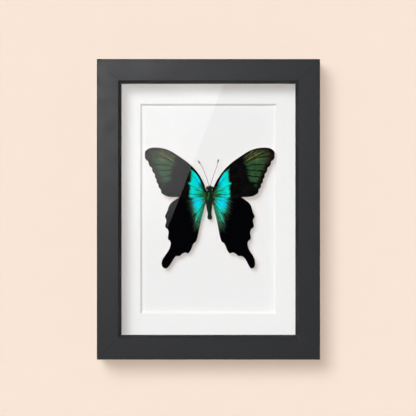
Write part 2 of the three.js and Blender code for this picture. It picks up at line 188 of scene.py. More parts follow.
def spinClosed(bm, line, axis, steps):
    # a full turn of the profile about one of the axes through the origin
    edges = [bm.edges.new(pair) for pair in zip(line, line[1:])]
    bmesh.ops.spin(bm, geom=line + edges, cent=(0, 0, 0), axis=axis, angle=2 * math.pi, steps=steps,
                   use_merge=True)


def addTube(bm, path, radii, sides=8, materialIndex=0):
    # a round tube through the path, closed at both ends
    rings = []
    for i, (centre, radius) in enumerate(zip(path, radii)):
        ahead = path[min(i + 1, len(path) - 1)] - path[max(i - 1, 0)]
        turn = ahead.to_track_quat("Z", "Y").to_matrix().to_4x4()
        ring = bmesh.ops.create_circle(bm, segments=sides, radius=radius,
                                       matrix=Matrix.Translation(centre) @ turn)["verts"]
        rings.append(ring)
    faces = []
    for near, far in zip(rings, rings[1:]):
        edges = {edge for ring in (near, far) for vert in ring for edge in vert.link_edges
                 if edge.other_vert(vert) in ring}
        faces += bmesh.ops.bridge_loops(bm, edges=list(edges))["faces"]
    for ring in (rings[0], rings[-1]):
        faces.append(bm.faces.new(ring))
    for face in faces:
        face.material_index = materialIndex


def smoothLine(points, steps):
    # an even Catmull-Rom line through the points
    line = []
    last = len(points) - 1
    for step in range(steps + 1):
        along = step / steps * last
        i = min(int(along), last - 1)
        t = along - i
        before, start, end, after = (Vector(points[k]) for k in (max(i - 1, 0), i, i + 1, min(i + 2, last)))
        leave, arrive = (end - before) / 2, (after - start) / 2
        line.append((2 * start - 2 * end + leave + arrive) * t ** 3
                    + (-3 * start + 3 * end - 2 * leave - arrive) * t ** 2 + leave * t + start)
    return line


# the wall, the floor, the lights and the camera, in metres
studio = {
    "wallColour": (0.920, 0.772, 0.663, 1),
    "wallSize": 6,
    "wallGap": 0.0006,
    "floorColours": ((0.78, 0.74, 0.7, 1), (0.82, 0.79, 0.75, 1)),
    "floorSize": 8,
    "floorDrop": 0.8,
    "aroundColour": (1.0, 0.93, 0.86, 1),
    "aroundFront": 0.10,
    "aroundBack": 0.45,
    "aroundEdge": (0.0, 0.15),
    "behindCamera": 0.05,
    "seenLevel": 0.8,
    "darkCone": (0.70, 0.86),
    "key": {"source": (-0.31, -1.0, 0.37), "spread": 27, "power": 1.53, "colour": (0.89, 0.95, 1.0)},
    "fill": {"source": (-0.22, -1.0, 0.30), "spread": 30, "power": 1.945, "colour": (1.0, 0.958, 0.915)},
    "sheenPlace": (-0.25, -1.5, 0.24),
    "sheenSize": (0.1, 0.35),
    "sheenPower": 3.4,
    "cameraPlace": (-0.0003, -1.528, -0.0741),
    "imageWidth": 416,
    "pixel": 0.0006717,
    "sensor": 36,
    "glarePower": 0.47,
    "glareTop": (0.0204, 0.1658),
    "glareFoot": (-0.1092, -0.1688),
    "glareWidth": 0.32,
    "glareLonger": 1.5,
    "glareFade": (0.345, 0.565),
    "glareInner": (1.0, 0.86),
    "glareEdge": 0.74,
    "glareHead": (0.762, 0.80),
    "glareHeadGain": 1.75,
    "backLamps": {"backLeft": ((-0.9, 1.3, 0.7), 15.4), "backRight": ((1.1, 1.2, 0.2), 7)},
    "backSize": 0.8,
}


def buildWall():
    material, tree, shader = newFinish("wallPlaster", {"Roughness": 0.95, "Specular IOR Level": 0.0})
    place = objectPlace(tree)
    mottle = noiseOf(tree, place, 60, 4)
    pale = studio["wallColour"]
    wire(tree, shader, Base_Color=blend(tree, mottle, toned(pale, 0.97), pale))
    addBump(tree, shader, noiseOf(tree, place, 900, 3), 0.12, 0.0003)
    # seen from behind, the wall is clear
    facing = addNode(tree, "NewGeometry", output="Backfacing")
    clear = addNode(tree, "BsdfTransparent")
    oneSided = addNode(tree, "MixShader", {0: facing, 1: shader.outputs[0], 2: clear})
    tree.links.new(oneSided, tree.nodes["Material Output"].inputs["Surface"])
    bpy.ops.mesh.primitive_plane_add(size=studio["wallSize"], location=(0, studio["wallGap"], 0),
                                     rotation=(math.pi / 2, 0, 0))
    wall = bpy.context.object
    wall.name = "wall"
    wall.data.materials.append(material)
    wall.visible_shadow = False
    wall.visible_diffuse = False
    return wall


def buildFloor():
    material, tree, shader = newFinish("floorPale", {"Roughness": 0.9})
    soft = noiseOf(tree, objectPlace(tree), 3, 2)
    wire(tree, shader, Base_Color=blend(tree, soft, *studio["floorColours"]))
    bpy.ops.mesh.primitive_plane_add(size=studio["floorSize"], location=(0, 0, -studio["floorDrop"]))
    floor = bpy.context.object
    floor.name = "floor"
    floor.data.materials.append(material)
    floor.visible_diffuse = False
    return floor


def addArea(name, place, target, width, height, power, spin=0.0):
    light = bpy.data.lights.new(name, "AREA")
    light.shape = "RECTANGLE"
    light.size = width
    light.size_y = height
    light.energy = power
    lamp = bpy.data.objects.new(name, light)
    lamp.location = place
    aim = Vector(target) - Vector(place)
    turn = aim.to_track_quat("-Z", "Y").to_matrix() @ Matrix.Rotation(spin, 3, "Z")
    lamp.rotation_euler = turn.to_euler()
    lamp.visible_camera = False
    bpy.context.scene.collection.objects.link(lamp)
    return lamp


def addFarLight(name, source, spread, power, colour):
    # a wide soft source that lights every place alike and that the glass doesn't mirror
    light = bpy.data.lights.new(name, "SUN")
    light.angle = math.radians(spread)
    light.energy = power
    light.color = colour
    lamp = bpy.data.objects.new(name, light)
    lamp.rotation_euler = Vector(source).to_track_quat("Z", "Y").to_euler()
    lamp.visible_glossy = False
    lamp.visible_transmission = False
    bpy.context.scene.collection.objects.link(lamp)
    return lamp


def addGlare():
    # a softbox beside the camera: its straight edge is what the glass mirrors across the window
    cameraX, cameraY, cameraZ = studio["cameraPlace"]
    top = Vector(studio["glareTop"])
    foot = Vector(studio["glareFoot"])
    edge = (top - foot).normalized()
    outward = Vector((-edge.y, edge.x))
    length = (top - foot).length * studio["glareLonger"]
    aside = (top + foot) / 2 + outward * studio["glareWidth"] / 2
    place = (cameraX + aside.x, cameraY, cameraZ + aside.y)
    lean = math.atan2(-edge.x, edge.y)
    glare = addArea("glarePanel", place, (place[0], 0, place[2]), studio["glareWidth"], length,
                    studio["glarePower"], lean)
    # the softbox is dimmer at its lower end and along its inner edge, and brightest at its head
    glare.data.use_nodes = True
    tree = glare.data.node_tree
    panel = addNode(tree, "NewGeometry", output="Parametric")
    upward = addNode(tree, "SeparateXYZ", {0: panel}, "Y")
    sideways = addNode(tree, "SeparateXYZ", {0: panel}, "X")
    strength = product(tree, rise(tree, upward, *studio["glareFade"]),
                       rise(tree, upward, *studio["glareHead"], 1.0, studio["glareHeadGain"]),
                       rise(tree, sideways, *studio["glareInner"], studio["glareEdge"], 1.0))
    tree.links.new(strength, tree.nodes["Emission"].inputs["Strength"])


def buildWorld():
    world = bpy.data.worlds.new("studioWorld")
    bpy.context.scene.world = world
    world.use_nodes = True
    tree = world.node_tree
    # the room is dark straight behind the camera, so the glass stays clear, and brighter behind the wall
    toward = addNode(tree, "TexCoord", output="Generated")
    across = addNode(tree, "SeparateXYZ", {0: toward}, output="Y")
    darkness = rise(tree, maths(tree, "MULTIPLY", across, -1.0), *studio["darkCone"])
    level = rise(tree, across, *studio["aroundEdge"], studio["aroundFront"], studio["aroundBack"])
    level = between(tree, darkness, level, studio["aroundFront"] * studio["behindCamera"])
    seen = addNode(tree, "LightPath", output="Is Camera Ray")
    level = between(tree, seen, level, studio["seenLevel"])
    background = tree.nodes["Background"]
    background.inputs["Color"].default_value = studio["aroundColour"]
    tree.links.new(level, background.inputs["Strength"])


def addCamera():
    lens = bpy.data.cameras.new("camera")
    camera = bpy.data.objects.new("camera", lens)
    camera.location = studio["cameraPlace"]
    camera.rotation_euler = (math.pi / 2, 0, 0)
    distance = cadBox[0].y - studio["cameraPlace"][1]
    lens.sensor_width = studio["sensor"]
    lens.lens = lens.sensor_width * distance / (studio["imageWidth"] * studio["pixel"])
    lens.clip_start = 0.05
    lens.clip_end = 20
    bpy.context.scene.collection.objects.link(camera)
    bpy.context.scene.camera = camera


buildWall()
buildFloor()
middle = (cadBox[0] + cadBox[1]) / 2
addFarLight("keyLight", **studio["key"])
fill = addFarLight("fillLight", **studio["fill"])
fill.data.use_shadow = False
# a tall lamp that shows only as a sheen, most of all on the rails
sheenPlace = Vector(studio["sheenPlace"]) + middle
sheen = addArea("sheenLight", sheenPlace, (sheenPlace.x, 0, sheenPlace.z), *studio["sheenSize"],
                studio["sheenPower"])
sheen.visible_diffuse = False
sheen.visible_transmission = False
for name, (place, power) in studio["backLamps"].items():
    addArea(name, place, middle, studio["backSize"], studio["backSize"], power)
addGlare()
buildWorld()
addCamera()
bpy.context.scene.view_settings.view_transform = "Standard"
bpy.context.scene.view_settings.look = "None"
print("stage, lights and camera made")


sideNames = ("top", "right", "bottom", "left")

# the four rails, in millimetres
railShape = {
    "width": 16.5,
    "rebate": 5.2,
    "lip": 5,
    "chamferWidth": 2,
    "chamferDepth": 2.6,
    "arris": 0.7,
    "softEdge": 0.25,
    "mitreGap": 0.05,
    "colour": (0.0196, 0.0203, 0.0226, 1),
    "roughness": 0.32,
    "specular": 0.3,
    "grain": (60, 1400),
}


def lacquerFinish(name, stretch):
    material, tree, shader = newFinish(name, {"Specular IOR Level": railShape["specular"]})
    grain = noiseOf(tree, objectPlace(tree, stretch), 1, 4)
    cloud = noiseOf(tree, objectPlace(tree), 120, 3)
    colour = railShape["colour"]
    rough = railShape["roughness"]
    wire(tree, shader,
         Base_Color=blend(tree, grain, colour, toned(colour, 1.18)),
         Roughness=rise(tree, cloud, 0.2, 0.8, rough - 0.03, rough + 0.05))
    fine = noiseOf(tree, objectPlace(tree), 3500, 2)
    addBump(tree, shader, between(tree, 0.35, grain, fine), 0.25, 0.00006)
    return material


def buildRail(name, quarter, length, reach, finish):
    # the top rail's section drawn out along x, mitred, then turned to its side of the frame
    depth = -cadBox[0].y / mm
    inner = -railShape["width"]
    rebate = inner + railShape["rebate"]
    chamfer = inner + railShape["chamferWidth"]
    section = [(0, 0), (-depth, 0), (-depth, chamfer), (-depth + railShape["chamferDepth"], inner),
               (-depth + railShape["lip"], inner), (-depth + railShape["lip"], rebate), (0, rebate)]
    bm = bmesh.new()
    cap = bm.faces.new([bm.verts.new((-length / 2, y, z)) for y, z in section])
    far = vertsOf(bmesh.ops.extrude_face_region(bm, geom=[cap]))
    bmesh.ops.translate(bm, verts=far, vec=(length, 0, 0))

    def alongAt(y, z):
        return [edge for edge in bm.edges if edge.calc_length() > length / 2
                and all(abs(vert.co.y - y) < 0.01 and abs(vert.co.z - z) < 0.01 for vert in edge.verts)]

    rounded = [(alongAt(-depth, 0), railShape["arris"], 5)]
    soft = [section[0], section[2], section[3], section[4]]
    rounded += [(alongAt(y, z), railShape["softEdge"], 3) for y, z in soft]
    for edges, offset, segments in rounded:
        bmesh.ops.bevel(bm, geom=edges, offset=offset, segments=segments, profile=0.5, affect="EDGES",
                        material=-1)
    for side in (-1, 1):
        mitre = cutThrough(bm, (side * (length / 2 - railShape["mitreGap"]), 0, 0), (side, 0, -1),
                           clearOuter=True)
        rim = [item for item in mitre["geom_cut"] if isinstance(item, bmesh.types.BMEdge)]
        bmesh.ops.contextual_create(bm, geom=rim)
    bmesh.ops.translate(bm, verts=bm.verts, vec=(0, 0, reach))
    bmesh.ops.rotate(bm, verts=bm.verts, matrix=Matrix.Rotation(quarter * math.pi / 2, 3, "Y"))
    placeInMetres(bm, (0, 0, middle.z))
    finishPiece("rail" + name.capitalize(), bm, [finish], ["rail_" + name], 25, True)


frameWidth = (cadBox[1].x - cadBox[0].x) / mm
frameHeight = (cadBox[1].z - cadBox[0].z) / mm
along, across = railShape["grain"]
lacquerAcross = lacquerFinish("blackLacquerAcross", (along, across, across))
lacquerUpright = lacquerFinish("blackLacquerUpright", (across, across, along))
for quarter, name in enumerate(sideNames):
    if name in ("top", "bottom"):
        buildRail(name, quarter, frameWidth, frameHeight / 2, lacquerAcross)
    else:
        buildRail(name, quarter, frameHeight, frameWidth / 2, lacquerUpright)
print("rails made")


# the glass, the mat, the boards and the spacers; the window's width, height and lift in millimetres
case = {
    "glassColour": (1.0, 1.0, 1.0, 1),
    "glassIor": 1.5,
    "matFace": (0.935, 0.935, 0.933, 1),
    "matCore": (0.93, 0.93, 0.925, 1),
    "board": (0.905, 0.905, 0.908, 1),
    "spacer": (0.85, 0.85, 0.84, 1),
    "window": (89.8, 140.0, 0.3),
    "hardboardDark": (0.13, 0.07, 0.034, 1),
    "hardboardLight": (0.26, 0.155, 0.085, 1),
    "hardboardFleck": (0.36, 0.24, 0.14, 1),
}


def glassFinish():
    clear = {"Base Color": case["glassColour"], "Roughness": 0.0, "IOR": case["glassIor"],
             "Transmission Weight": 1.0}
    return newFinish("clearGlass", clear)[0]


def paperFinish(name, colour, tooth=0.03):
    material, tree, shader = newFinish(name, {"Roughness": 0.92, "Specular IOR Level": 0.15})
    place = objectPlace(tree)
    cloud = noiseOf(tree, place, 220, 4)
    wire(tree, shader, Base_Color=blend(tree, cloud, toned(colour, 0.982), colour))
    addBump(tree, shader, noiseOf(tree, place, 5200, 3, 0.7), tooth)
    return material


def hardboardFinish():
    material, tree, shader = newFinish("hardboard", {"Roughness": 0.72, "Specular IOR Level": 0.35})
    place = objectPlace(tree)
    fibres = noiseOf(tree, objectPlace(tree, (900, 900, 2600)), 1, 6, 0.7)
    cloud = noiseOf(tree, place, 45, 3)
    flecks = rise(tree, noiseOf(tree, place, 1500, 2), 0.62, 0.74, 0.0, 0.5)
    tone = blend(tree, between(tree, 0.4, fibres, cloud), case["hardboardDark"], case["hardboardLight"])
    wire(tree, shader, Base_Color=blend(tree, flecks, tone, case["hardboardFleck"]))
    addBump(tree, shader, fibres, 0.35, 0.0001)
    return material


def addLoop(bm, width, height, y, z):
    # a rectangular loop facing the viewer
    shape = (Matrix.Translation((0, y, z)) @ Matrix.Diagonal((width, 1, height, 1))
             @ Matrix.Rotation(math.pi / 2, 4, "X") @ Matrix.Rotation(math.pi / 4, 4, "Z"))
    loop = bmesh.ops.create_circle(bm, segments=4, radius=math.sqrt(0.5), matrix=shape)["verts"]
    return {edge for vert in loop for edge in vert.link_edges}


def buildMat():
    # four loops bridged in a round: front, bevel, back and outer edge
    low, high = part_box("mat_board")
    outer = (high.x - low.x, high.z - low.z)
    across, up, lift = (value * mm for value in case["window"])
    thick = high.y - low.y
    bm = bmesh.new()
    loops = [
        addLoop(bm, *outer, low.y, middle.z),
        addLoop(bm, across + 2 * thick, up + 2 * thick, low.y, middle.z + lift),
        addLoop(bm, across, up, high.y, middle.z + lift),
        addLoop(bm, *outer, high.y, middle.z),
    ]
    for i, near in enumerate(loops):
        far = loops[(i + 1) % len(loops)]
        for face in bmesh.ops.bridge_loops(bm, edges=list(near | far))["faces"]:
            face.material_index = 1 if i == 1 else 0
    finishes = [paperFinish("matFace", case["matFace"]), paperFinish("matCore", case["matCore"], 0.02)]
    finishPiece("matBoard", bm, finishes, ["mat_board"], 20)


def dress(finish, *names):
    # a new finish on nodes that keep the frame's own mesh
    for name in names:
        nodes[name].data.materials.clear()
        nodes[name].data.materials.append(finish)


dress(glassFinish(), "glass_pane")
nodes["glass_pane"].visible_shadow = False
nodes["glass_pane"].visible_diffuse = False
buildMat()
dress(paperFinish("boardPaper", case["board"], 0.02), "mount_board")
spacers = ["spacer_" + side for side in sideNames]
dress(paperFinish("spacerFoam", case["spacer"], 0.3), *spacers)
for name in spacers:
    nodes[name].visible_diffuse = False
dress(hardboardFinish(), "back_panel")
print("glass, mat, boards and spacers made")


# the hanger, its screws, the retaining tabs and the pin, in millimetres
metal = {
    "zinc": (0.50, 0.53, 0.58, 1),
    "zincRough": 0.34,
    # painted shade for the screws' cross recess
    "recess": (0.03, 0.03, 0.03, 1),
    "pin": (0.55, 0.55, 0.56, 1),
    "pinRough": 0.28,
    "pinRadius": 0.35,
    "pinEdge": 0.06,
    "tabEdge": 0.1,
    "hangerEdge": 0.12,
    "hangerBend": (13.0, 14.6),
    "hangerHalf": 23.0,
    "hangerLift": 1.6,
    "hangerGauge": 0.8,
    "hangerRise": (-1.6, 7.4),
    "toothPitch": 3.0,
    "toothFlat": 0.09,
    "teeth": 7,
    "screwHead": 1.7,
    "screwHeight": 0.9,
    "shankRadius": 0.8,
    "shankLength": 1.6,
    "pointRadius": 0.32,
    "pointLength": 2.4,
    "crossWidth": 0.34,
    "crossTurn": 0.4,
}


def steelFinish(name, colour, roughness, stretch):
    material, tree, shader = newFinish(name, {"Base Color": colour, "Metallic": 1.0})
    brush = noiseOf(tree, objectPlace(tree, stretch), 1, 4, 0.6)
    cloud = noiseOf(tree, objectPlace(tree), 350, 3)
    wire(tree, shader, Roughness=rise(tree, cloud, 0.25, 0.75, roughness - 0.08, roughness + 0.12))
    addBump(tree, shader, brush, 0.3)
    return material


def softenEdges(bm, offset):
    # a small round on every edge where faces meet at more than 40 degrees
    sharp = [edge for edge in bm.edges if len(edge.link_faces) == 2
             and edge.calc_face_angle(0) > math.radians(40)]
    bmesh.ops.bevel(bm, geom=sharp, offset=offset, segments=2, profile=0.5, affect="EDGES", material=-1)


def buildTab(name, finish):
    low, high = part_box(name)
    size = high - low
    centre = centreOf(name)
    half = min(size.x, size.z) / 2
    reach = max(size.x, size.z)
    if size.x > size.z:
        quarter = 1 if centre.x < 0 else -1
    else:
        quarter = 0 if centre.z < middle.z else 2
    # flat outline along +z with a round free end, then turned to point inward
    outline = [(-half, -reach / 2), (half, -reach / 2)]
    outline += [(half * math.cos(a), reach / 2 - half + half * math.sin(a))
                for a in (math.pi * i / 12 for i in range(13))]
    bm = bmesh.new()
    face = bm.faces.new([bm.verts.new((x, 0, z)) for x, z in outline])
    back = vertsOf(bmesh.ops.extrude_face_region(bm, geom=[face]))
    bmesh.ops.translate(bm, verts=back, vec=(0, size.y, 0))
    softenEdges(bm, metal["tabEdge"] * mm)
    bmesh.ops.rotate(bm, verts=bm.verts, matrix=Matrix.Rotation(quarter * math.pi / 2, 3, "Y"))
    bmesh.ops.translate(bm, verts=bm.verts, vec=(centre.x, low.y, centre.z))
    side, number = name.split("_")[2:]
    finishPiece("tab" + side.capitalize() + number, bm, [finish], [name], flat=True)


def buildHanger(finish):
    # a flat strip with teeth along its lower edge, its middle bent out towards the wall
    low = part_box("sawtooth_hanger")[0]
    half = metal["hangerHalf"]
    foot, top = metal["hangerRise"]
    pitch, teeth, flatness = metal["toothPitch"], metal["teeth"], metal["toothFlat"]
    lower = [(-half, foot)]
    for i in range(teeth):
        start = (i - teeth / 2) * pitch
        lower += [(start + flatness, foot), (start + pitch / 2, 0)]
    lower += [(teeth / 2 * pitch - flatness, foot), (half, foot)]
    bm = bmesh.new()
    bm.faces.new([bm.verts.new((x, 0, z)) for x, z in lower + [(half, top), (-half, top)]])
    flat, ramp = metal["hangerBend"]
    for x in (-ramp, -flat, flat, ramp):
        cutThrough(bm, (x, 0, 0), (1, 0, 0))
    back = vertsOf(bmesh.ops.extrude_face_region(bm, geom=bm.faces[:]))
    bmesh.ops.translate(bm, verts=back, vec=(0, metal["hangerGauge"], 0))
    for vert in bm.verts:
        vert.co.y += metal["hangerLift"] * min(max((ramp - abs(vert.co.x)) / (ramp - flat), 0), 1)
    softenEdges(bm, metal["hangerEdge"])
    placeInMetres(bm, (0, low.y, 0))
    finishPiece("sawtoothHanger", bm, [finish], ["sawtooth_hanger"], 30, True)


def buildScrew(name, finish):
    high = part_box(name)[1]
    centre = centreOf(name)
    head, height = metal["screwHead"], metal["screwHeight"]
    shank, point = metal["shankRadius"], metal["pointRadius"]
    # pan head and shank as one profile, spun about the screw's axis
    profile = [(0.01, -height * 0.98), (head * 0.35, -height * 0.96), (head * 0.7, -height * 0.8),
               (head * 0.93, -height * 0.45), (head, -height * 0.12), (head * 0.98, 0), (shank, 0),
               (shank, metal["shankLength"]), (point, metal["pointLength"]), (0.01, metal["pointLength"])]
    bm = bmesh.new()
    spinClosed(bm, [bm.verts.new((radius, -y, 0)) for radius, y in profile], (0, 1, 0), 32)
    bmesh.ops.holes_fill(bm, edges=[edge for edge in bm.edges if edge.is_boundary], sides=40)
    for turn in (metal["crossTurn"], metal["crossTurn"] + math.pi / 2):
        # the cross recess: a thin bar sunk into the head, its dark colour painted shade
        bar = bmesh.ops.create_cube(bm, size=1, matrix=Matrix.Rotation(turn, 4, "Y")
                                    @ Matrix.Translation((0, height * 0.86, 0))
                                    @ Matrix.Diagonal((head * 1.25, height * 0.26, metal["crossWidth"], 1)))
        for face in {face for vert in bar["verts"] for face in vert.link_faces}:
            face.material_index = 1
    placeInMetres(bm, (centre.x, high.y - height * mm, centre.z))
    dull = {"Base Color": metal["recess"], "Roughness": 0.7, "Metallic": 0.6}
    recess = newFinish("recessShadow", dull)[0]
    finishPiece("hangerScrew" + name[-1], bm, [finish, recess], [name])


zincBrushed = steelFinish("zincBrushed", metal["zinc"], metal["zincRough"], (300, 4000, 4000))
buildHanger(zincBrushed)
for number in (1, 2):
    buildScrew(f"hanger_screw_{number}", zincBrushed)
for side in sideNames:
    for number in (1, 2):
        buildTab(f"retaining_tab_{side}_{number}", zincBrushed)
print("hanger, screws and tabs made")


# the wings, in millimetres to the side of the thorax's middle and up from it
wingShape = {
    "grid": 0.34,
    "gridShift": 0.013,
    "thickness": 0.17,
    "edgeThin": 0.35,
    "edgeReach": 0.6,
    "slope": 0.028,
    "arch": 0.5,
    "span": 46,
    "wave": 0.25,
    "waveLength": 7,
    "waveFrom": -4,
    "fold": 0.05,
    "foldReach": 1.4,
    "root": (0.6, 1.0),
    "spotInset": 0.8,
    "veinRadius": 0.14,
    "veinTaper": 0.45,
    "forewingLift": 5.6,
    "hindwingLift": 5.0,
    "lean": 0.044,
    "leanFrom": -12.4,
    "tuck": 1.65,
    "tuckReach": 12,
    "rootTuck": 1.2,
    "rootTuckReach": 6.5,
    "tailSpread": 0.25,
    "tailMiddle": 28.7,
    "tailFrom": (-38.5, -43.0),
}

pinLow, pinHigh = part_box("mounting_pin")
specimenPlace = Vector(((pinLow.x + pinHigh.x) / 2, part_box("mount_board")[0].y, (pinLow.z + pinHigh.z) / 2))


def sheetRise(x, z):
    # how far the wing stands in front of its root, in millimetres
    s = wingShape
    return (s["slope"] * x + s["arch"] * math.sin(math.pi * x / s["span"])
            + s["wave"] * math.sin((z - s["waveFrom"]) / s["waveLength"]))


def scallopedLine(points, lobes, depth, perLobe):
    # rounded lobes between shallow notches, standing out to the left of the line's course
    count = lobes * perLobe
    line = smoothLine(points, count)
    made = []
    for i, place in enumerate(line):
        out = (line[min(i + 1, count)] - line[max(i - 1, 0)]).normalized()
        lobe = depth * abs(math.sin(math.pi * lobes * i / count))
        made.append(place + Vector((-out.y, out.x)) * lobe)
    return made


forewingOutline = [
    *smoothLine([(2.2, 4.2), (3.1, 7.1), (4.9, 11.7), (8.7, 17.9), (14.2, 23.5), (21.4, 28.7), (27.9, 32.5),
                 (34.4, 34.1), (40.2, 33.9), (43.5, 31.8), (44, 29)], 60),
    *scallopedLine([(43.8, 28.6), (40.5, 23), (37.3, 17), (35.6, 12), (33.7, 7.4), (31.4, 2.6)], 7, 0.8, 8),
    *smoothLine([(31.2, 2.2), (28.4, 1.1), (24, 0.7), (13, 0.4), (2.4, 0)], 24),
]
hindwingOutline = [
    *smoothLine([(2.2, 0.6), (5, 3), (12, 3.4), (18.5, 2), (22.4, -0.1), (26.5, -3.2), (28, -5.6),
                 (28.9, -8.6), (30.4, -12.4)], 40),
    *smoothLine([(30.4, -12.6), (29.3, -15.2), (29.9, -18.6), (29.4, -20.1)], 12),
    *smoothLine([(28, -21.1), (27.4, -23.4), (27.8, -26.6), (27.4, -28)], 12),
    *smoothLine([(26.2, -28.9), (25.6, -31), (26.7, -35), (29.8, -40.1), (30.7, -43.4), (30.3, -46.3),
                 (28.5, -47.7), (26.8, -46.4), (24.5, -42), (22.6, -39.7)], 44),
    *smoothLine([(21.4, -39.1), (19.5, -39.3), (17.6, -37.8), (15.8, -36.8)], 12),
    *smoothLine([(14.9, -37), (13.4, -37.4), (11.5, -34.6), (10.2, -31.3), (9.2, -30.2)], 14),
    *smoothLine([(8.1, -29.6), (6.9, -26.2), (4.9, -15.9), (3.25, -9.3), (2.1, -4.5)], 24),
]
forewingVeins = [
    [(2.5, 4.2), (9, 16.7), (18, 25.2), (27, 31)],
    [(2.6, 3.6), (10, 13.6), (16, 19.2), (22, 22.5)],
    [(13, 16.9), (22, 25.4), (31, 32)],
    [(17, 20), (26, 27.2), (36, 33.1)],
    [(22, 22.5), (31, 28), (40.4, 32.2)],
    [(24, 23.8), (32, 27.4), (43.2, 28.8)],
    [(23.2, 20.8), (29, 22.5), (40.2, 22.6)],
    [(23.4, 18.6), (30, 18.9), (38.2, 18.4)],
    [(22.6, 16), (29, 14.7), (36.6, 14)],
    [(21, 13.2), (28, 10.4), (35.2, 9.6)],
    [(13.5, 9), (22, 7.6), (33.6, 5.6)],
    [(2.8, 2.6), (11, 7.5), (17, 10.8), (21, 13.2), (22.6, 16), (23.4, 18.6), (23.2, 20.8), (22, 22.5)],
    [(2.6, 1.4), (14, 2.9), (30.8, 2.8)],
]
hindwingVeins = [
    [(2.8, 0.3), (10, 1.9), (18, -0.4), (27.6, -5.6)],
    [(2.8, -0.6), (12, -2.6), (18, -6.5), (29.8, -12.4)],
    [(18.2, -8.6), (24, -13.8), (29.2, -19.4)],
    [(18, -12), (22.8, -19.2), (27.2, -27.4)],
    [(17.4, -15.4), (22.6, -29), (28.9, -46)],
    [(15.6, -17.6), (19, -28), (22.2, -38.8)],
    [(10.8, -14.9), (14, -26), (16.8, -36.6)],
    [(2.8, -2.6), (8.5, -11), (13.5, -19.5), (15.6, -17.6), (17.4, -15.4), (18, -12), (18, -6.5)],
    [(2.6, -4), (5.6, -15), (9.4, -28.8)],
]
forewingFolds = [
    [(24, 26), (33, 30.2), (41.6, 30.6)],
    [(24.5, 22.6), (31, 24.9), (42, 25.8)],
    [(24.2, 20), (30, 20.7), (39.4, 20.6)],
    [(23.8, 17.2), (30, 16.8), (37, 16.2)],
    [(22.4, 14.4), (29, 12.6), (35.6, 11.8)],
    [(20, 11.2), (27, 9), (34.2, 7.6)],
    [(4, 3.2), (12, 10.8), (20.5, 18)],
    [(4, 2.2), (13, 5.8), (26, 5.2)],
]
hindwingFolds = [
    [(14, -0.4), (22, -3.4), (29, -9)],
    [(18.4, -7.6), (24, -11.2), (29.6, -16)],
    [(18.2, -10.4), (23.6, -16.8), (28.2, -23)],
    [(18, -14), (21, -22), (26, -34)],
    [(16.8, -17), (20.8, -28.6), (25.6, -40.6)],
    [(13.2, -17.6), (16.6, -28), (19.6, -38.4)],
    [(7.6, -12), (10.6, -22), (13.2, -36)],
]

# the coloured areas, each as a closed ring whose inside holds the colour
bandRings = {
    "forewing": [(14.2, 27), (12.95, 19.9), (12.5, 17.3), (12.6, 14.6), (12.8, 11.5), (14.5, 9.8),
                 (13.4, 8.2), (13.3, 5), (13.9, 2.6), (13.7, -4), (-40, -4), (-40, 27)],
    "hindwing": [(12.2, 6), (12.6, -0.5), (12.5, -3), (12.2, -5.6), (11.6, -7.5), (10.9, -10),
                 (10.3, -12.2), (9.6, -15.2), (9, -18.1), (8.6, -22), (-40, -26), (-40, 6)],
}
costalRing = [(19, 27), (12.9, 19.9), (9.7, 17), (7.5, 14), (6.2, 11.1), (5.2, 8.2), (3.6, 5.6), (2, 4.2),
              (-40, 4.2), (-40, -40), (80, -40), (80, 27)]
patchRing = [(23.6, 27.6), (24, 23.1), (26, 19.9), (26.6, 16.6), (26.6, 13.4), (27.8, 11.4), (31, 10.7),
             (33.3, 12.4), (34.2, 15.3), (35.7, 19.9), (37.4, 23.7), (39.4, 26.4), (40.4, 30.6), (36, 32.6),
             (30.8, 31.7), (26, 29.5)]
blueRings = {
    "forewing": [(6, 8.4), (7.6, 8.8), (9.4, 11.4), (9.6, 13), (8.2, 12.8), (6.8, 11.2)],
    "hindwing": [(4.6, 1), (12.2, 1), (12, -2.8), (11, -5.6), (9.4, -7.2), (7.6, -6.6), (6, -4.4),
                 (4.6, -1.6)],
}
spotRing = [(29.4, 8.0), (31.2, 7.7), (31.9, 9.1), (30.2, 9.7)]


def lineDistance(places, line):
    # how far each place is from the line
    nearest = np.full(len(places), 1e9)
    for start, end in zip(line, line[1:]):
        start = np.array(start[:2], float)
        step = np.array(end[:2], float) - start
        share = np.clip((places - start) @ step / max(step @ step, 1e-12), 0, 1)
        nearest = np.minimum(nearest, np.linalg.norm(places - start - share[:, None] * step, axis=1))
    return nearest


def ringDepth(places, ring):
    # distance to the ring, positive inside it
    closed = [tuple(point[:2]) for point in ring] + [tuple(ring[0][:2])]
    inside = np.zeros(len(places), bool)
    x, z = places[:, 0], places[:, 1]
    for (x0, z0), (x1, z1) in zip(closed, closed[1:]):
        if z0 == z1:
            continue
        crosses = ((z0 > z) != (z1 > z)) & (x < (x1 - x0) * (z - z0) / (z1 - z0) + x0)
        inside ^= crosses
    return np.where(inside, 1, -1) * lineDistance(places, closed)


def cutIntoGrid(bm, spacing):
    # the sheet is cut by planes both ways, so that it can be bent
    for axis in (0, 2):
        values = [vert.co[axis] for vert in bm.verts]
        normal = (1, 0, 0) if axis == 0 else (0, 0, 1)
        place = math.ceil(min(values) / spacing) * spacing + wingShape["gridShift"]
        while place < max(values):
            cutThrough(bm, (place, 0, 0) if axis == 0 else (0, 0, place), normal, 1e-4)
            place += spacing


